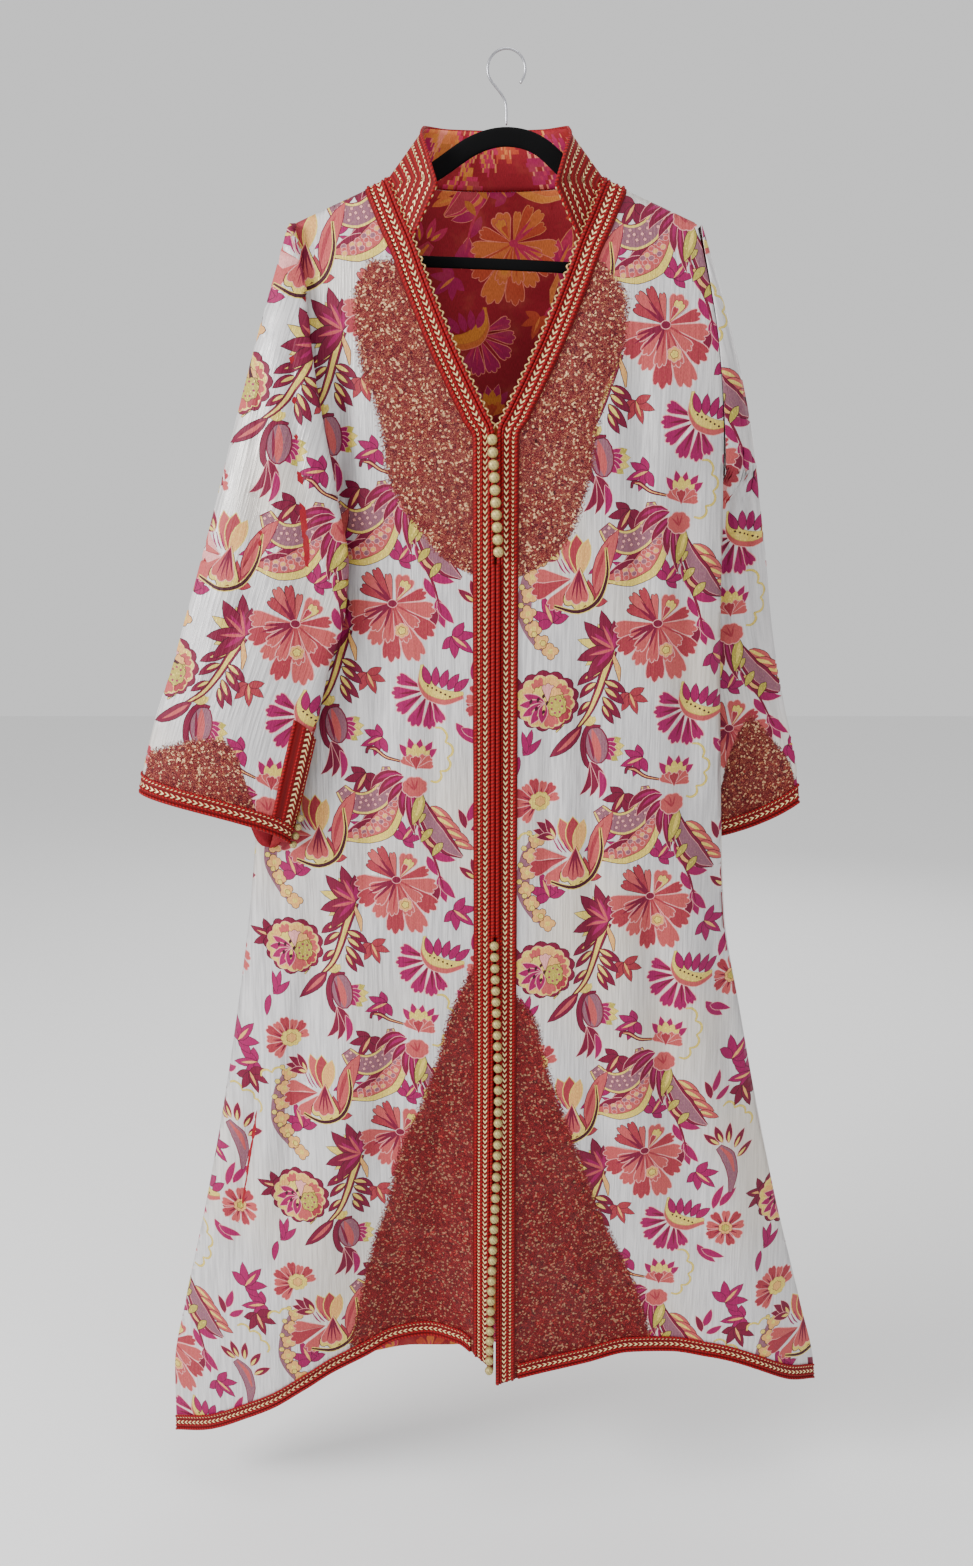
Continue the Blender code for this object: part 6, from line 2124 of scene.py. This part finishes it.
def make_collar():
    """Stand collar: reverse of the brocade inside, braid in rows outside, and a cord along its edges."""
    shares = np.linspace(0, 1, COLLAR_WIDE)
    rows = np.linspace(0, 1, COLLAR_ROWS)
    inner = collar_grid(shares, rows)
    across = np.gradient(inner, axis=1)
    up = np.gradient(inner, axis=0)
    normal = np.cross(across, up)
    normal = normal / np.linalg.norm(normal, axis=-1, keepdims=True)
    centre = np.array([CENTRE_X, 0, -110])
    if (normal * (inner - centre)).sum() < 0:
        normal = -normal
    outer = inner + normal * COLLAR_WALL * 0.8
    count = COLLAR_ROWS * COLLAR_WIDE
    faces = grid_faces(COLLAR_ROWS, COLLAR_WIDE)
    inside_count = len(faces)
    faces += [tuple(count + k for k in face[::-1]) for face in grid_faces(COLLAR_ROWS, COLLAR_WIDE)]
    border = grid_border(COLLAR_ROWS, COLLAR_WIDE)
    faces += [(b, a, count + a, count + b) for a, b in zip(border, border[1:] + border[:1])]
    mesh = bpy.data.meshes.new("collar")
    mesh.from_pydata((np.concatenate([inner.reshape(-1, 3), outer.reshape(-1, 3)]) * MM).tolist(), [], faces)
    run = run_along(inner[0])
    height = np.linalg.norm(inner[-1] - inner[0], axis=1)
    from_top = (1 - rows)[:, None] * height[None, :]
    from_front = np.broadcast_to(np.minimum(run, run[-1] - run), inner.shape[:2])
    along_it = np.where(from_top < from_front, run[None, :], rows[:, None] * height[None, :])
    uv = np.stack([np.minimum(from_top, from_front), along_it], axis=-1).reshape(-1, 2) * MM
    add_uv(mesh, np.concatenate([uv, uv]), "braid")
    cloth_uv = np.stack([np.broadcast_to(run - run[-1] / 2, inner.shape[:2]), inner[..., 2]], axis=-1)
    add_uv(mesh, np.concatenate([cloth_uv.reshape(-1, 2)] * 2) * MM)
    places = cloth_uv.reshape(-1, 2)[np.array(faces[:inside_count])].mean(axis=1)
    dye = np.concatenate([collar_dyes(places), np.zeros(len(faces) - inside_count, int)])
    add_dyes(mesh, dye, 0)
    obj = new_piece("collar", mesh, COLLAR_BRAID)
    obj.data.materials.append(CLOTH_REVERSE)
    slots = np.zeros(len(faces), np.int32)
    slots[:inside_count] = 1
    mesh.polygons.foreach_set("material_index", slots)
    turn_outward(mesh)
    edge_cords = []
    for i, radius in ((0, COLLAR_BASE_CORD), (COLLAR_ROWS - 1, COLLAR_CORD)):
        path = (inner[i] + outer[i]) / 2 + normal[i] * COLLAR_CORD_LIFT
        edge_cords.append(tube_mesh("cord", rings_along(path, normal[i], radius)))
    for j in (0, COLLAR_WIDE - 1):
        fine = collar_grid(np.array([shares[j]]), np.linspace(0, 1, COLLAR_CORD_POINTS))[:, 0]
        up = np.tile(normal[COLLAR_ROWS // 2, j], (COLLAR_CORD_POINTS, 1))
        edge_cords.append(tube_mesh("cord", rings_along(fine + up * COLLAR_WALL, up, COLLAR_CORD)))
    cord = join_meshes("collar_cords", edge_cords, RED_CORD)
    picots = []
    for j in (0, COLLAR_WIDE - 1):
        fine = collar_grid(np.array([shares[j]]), np.linspace(0, 1, COLLAR_PICOT_POINTS))[:, 0]
        run = run_along(fine)
        swing = np.sin(run / PICOT_PITCH * 2 * math.pi)[:, None] * PICOT_SWING
        forward = np.array([math.copysign(0.5, 0.5 - j), -0.85, 0.0])
        up = np.tile(normal[COLLAR_ROWS // 2, j], (COLLAR_PICOT_POINTS, 1))
        path = fine + up * 1.2 + forward * (0.8 + swing)
        picots.append(tube_mesh("picot", rings_along(path, up, PICOT_RADIUS)))
    picot = join_meshes("picot_edge_collar", picots, PICOT_CORD)
    stands_for("collar")
    return obj, [cord, picot]


# How far the pattern is shifted on the collar, across and up
COLLAR_SHIFT = (40.0, -20.0)


def collar_dyes(places):
    """Dyes of the collar's inner face at places on its cloth."""
    dye = np.zeros(len(places), int)
    for column, row in product((-1, 0, 1), (-1, 0, 1)):
        offset = np.array([column * REPEAT[0] + COLLAR_SHIFT[0], row * REPEAT[1] + COLLAR_SHIFT[1]])
        for shape, name in BROCADE:
            moved = shape + offset
            near = (places > moved.min(axis=0)).all(axis=1) & (places < moved.max(axis=0)).all(axis=1)
            found = np.nonzero(near)[0]
            dye[found[inside(moved, places[found])]] = DYE_NAMES.index(name)
    return dye


def turn_outward(mesh):
    shape = bmesh.new()
    shape.from_mesh(mesh)
    if shape.calc_volume(signed=True) < 0:
        bmesh.ops.reverse_faces(shape, faces=shape.faces)
    shape.to_mesh(mesh)
    shape.free()


def smoothed_copy(node, name, material, levels):
    """A CAD solid's mesh with its doubles merged and its faces rounded, in the solid's place."""
    source = bpy.data.objects[node]
    mesh = source.data.copy()
    mesh.materials.clear()
    shape = bmesh.new()
    shape.from_mesh(mesh)
    bmesh.ops.remove_doubles(shape, verts=shape.verts, dist=1e-5)
    bmesh.ops.join_triangles(shape, faces=shape.faces, angle_face_threshold=0.5, angle_shape_threshold=1.2)
    shape.to_mesh(mesh)
    shape.free()
    obj = new_piece(name, mesh, material)
    round_off = obj.modifiers.new("round", "SUBSURF")
    round_off.levels = levels
    round_off.render_levels = levels
    bpy.ops.object.select_all(action="DESELECT")
    obj.select_set(True)
    bpy.context.view_layer.objects.active = obj
    bpy.ops.object.modifier_apply(modifier="round")
    obj.data.shade_smooth()
    stands_for(node)


def make_stage():
    bpy.ops.mesh.primitive_plane_add(size=1.0, location=(0, 1.2, FLOOR_Z))
    floor = bpy.context.object
    floor.name = "floor"
    floor.scale = (9.0, 9.0, 1.0)
    bpy.ops.object.transform_apply(location=True, scale=True)
    looks = Looks("pale_floor", roughness=0.9, specular_ior_level=0.2)
    tint = looks.noise(looks.coordinates(None), 3.0, 2.0)
    looks.into(base_color=looks.mix(tint * 0.2, (0.93, 0.93, 0.93), (0.90, 0.90, 0.90)))
    floor.data.materials.append(looks.material)


# Camera: its place, tilt and lens follow the photograph's frame of 973 by 1566
CAMERA_AT, CAMERA_TILT, CAMERA_LENS = (-0.021, -1.60, -0.418), 77.0, 32.18
FLOOR_Z = -1.74
# Soft lamps: place, point aimed at, size and power
LAMPS = (
    ("window", (-2.4, -1.3, 0.4), (0, 0, -0.75), 1.2, 112),
    ("fill", (1.9, -2.4, -0.1), (0, 0, -0.8), 2.2, 12),
    ("top", (0.2, -0.7, 1.5), (0, 0, -0.6), 1.4, 20),
    ("behind", (0.6, 2.4, 0.2), (0, 0, -0.8), 2.2, 26),
)
WORLD_LIGHT = 0.85


def make_camera_and_lamps():
    data = bpy.data.cameras.new("camera")
    data.lens, data.sensor_width = CAMERA_LENS, 36.0
    camera = bpy.data.objects.new("camera", data)
    camera.location = CAMERA_AT
    camera.rotation_euler = (math.radians(CAMERA_TILT), 0, 0)
    bpy.context.scene.collection.objects.link(camera)
    bpy.context.scene.camera = camera
    for name, place, target, size, power in LAMPS:
        lamp = bpy.data.lights.new(name, "AREA")
        lamp.size, lamp.energy = size, power
        obj = bpy.data.objects.new(name, lamp)
        obj.location = place
        obj.rotation_euler = (Vector(target) - Vector(place)).to_track_quat("-Z", "Y").to_euler()
        bpy.context.scene.collection.objects.link(obj)
    world = bpy.data.worlds.new("studio")
    bpy.context.scene.world = world
    world.use_nodes = True
    world.node_tree.nodes["Background"].inputs["Color"].default_value = (1, 1, 1, 1)
    world.node_tree.nodes["Background"].inputs["Strength"].default_value = WORLD_LIGHT


bpy.ops.object.select_all(action="DESELECT")
make_camera_and_lamps()
make_stage()
BROCADE = brocade_repeat()


def shows_inside(s, t):
    """Whether a patch of the back's inner face can be seen through the neck or below the front hem."""
    near = np.abs(s).min()
    return (t.min() < NECK_SHOWS and near < NECK_WIDE) or (t.max() > HEM_SHOWS and near < HEM_WIDE)


for wearer_side in (RIGHT, LEFT):
    name = side_name(wearer_side)
    surface = lambda s, t, side=wearer_side: front_point(side, s, t)
    panel = Panel(f"front_{name}", surface, front_flat(wearer_side), (0.0, 1.0), (300.0, 1420.0),
                  -wearer_side, BROCADE)
    cloth = make_cloth(panel, wearer_side)
    trims = make_front_braid(wearer_side) + make_hem_braid(wearer_side)
    stands_for(f"front_{name}")
    panel = Panel(f"sleeve_{name}", sleeve_surface(wearer_side), sleeve_flat(wearer_side), (0.5, 1.5),
                  (330.0, 560.0), SLEEVE_OUTWARD, BROCADE)
    cloth = make_cloth(panel, wearer_side, sleeve=True)
    trims = make_cuff_braid(wearer_side)
    stands_for(f"sleeve_{name}")
    make_cuff_buttons(wearer_side)
    make_piping(wearer_side)
panel = Panel("back", back_point, back_flat, (-1.0, 1.0), (600.0, 1420.0), 1, BROCADE)
cloth = make_cloth(panel, 0, lining=shows_inside)
stands_for("back")
make_hem_braid(0)
collar, collar_trims = make_collar()
make_upper_buttons()
make_lower_buttons()
smoothed_copy("hanger_frame", "hanger", BLACK_FLOCK, 2)
smoothed_copy("hanger_hook", "hook", STEEL_WIRE, 1)
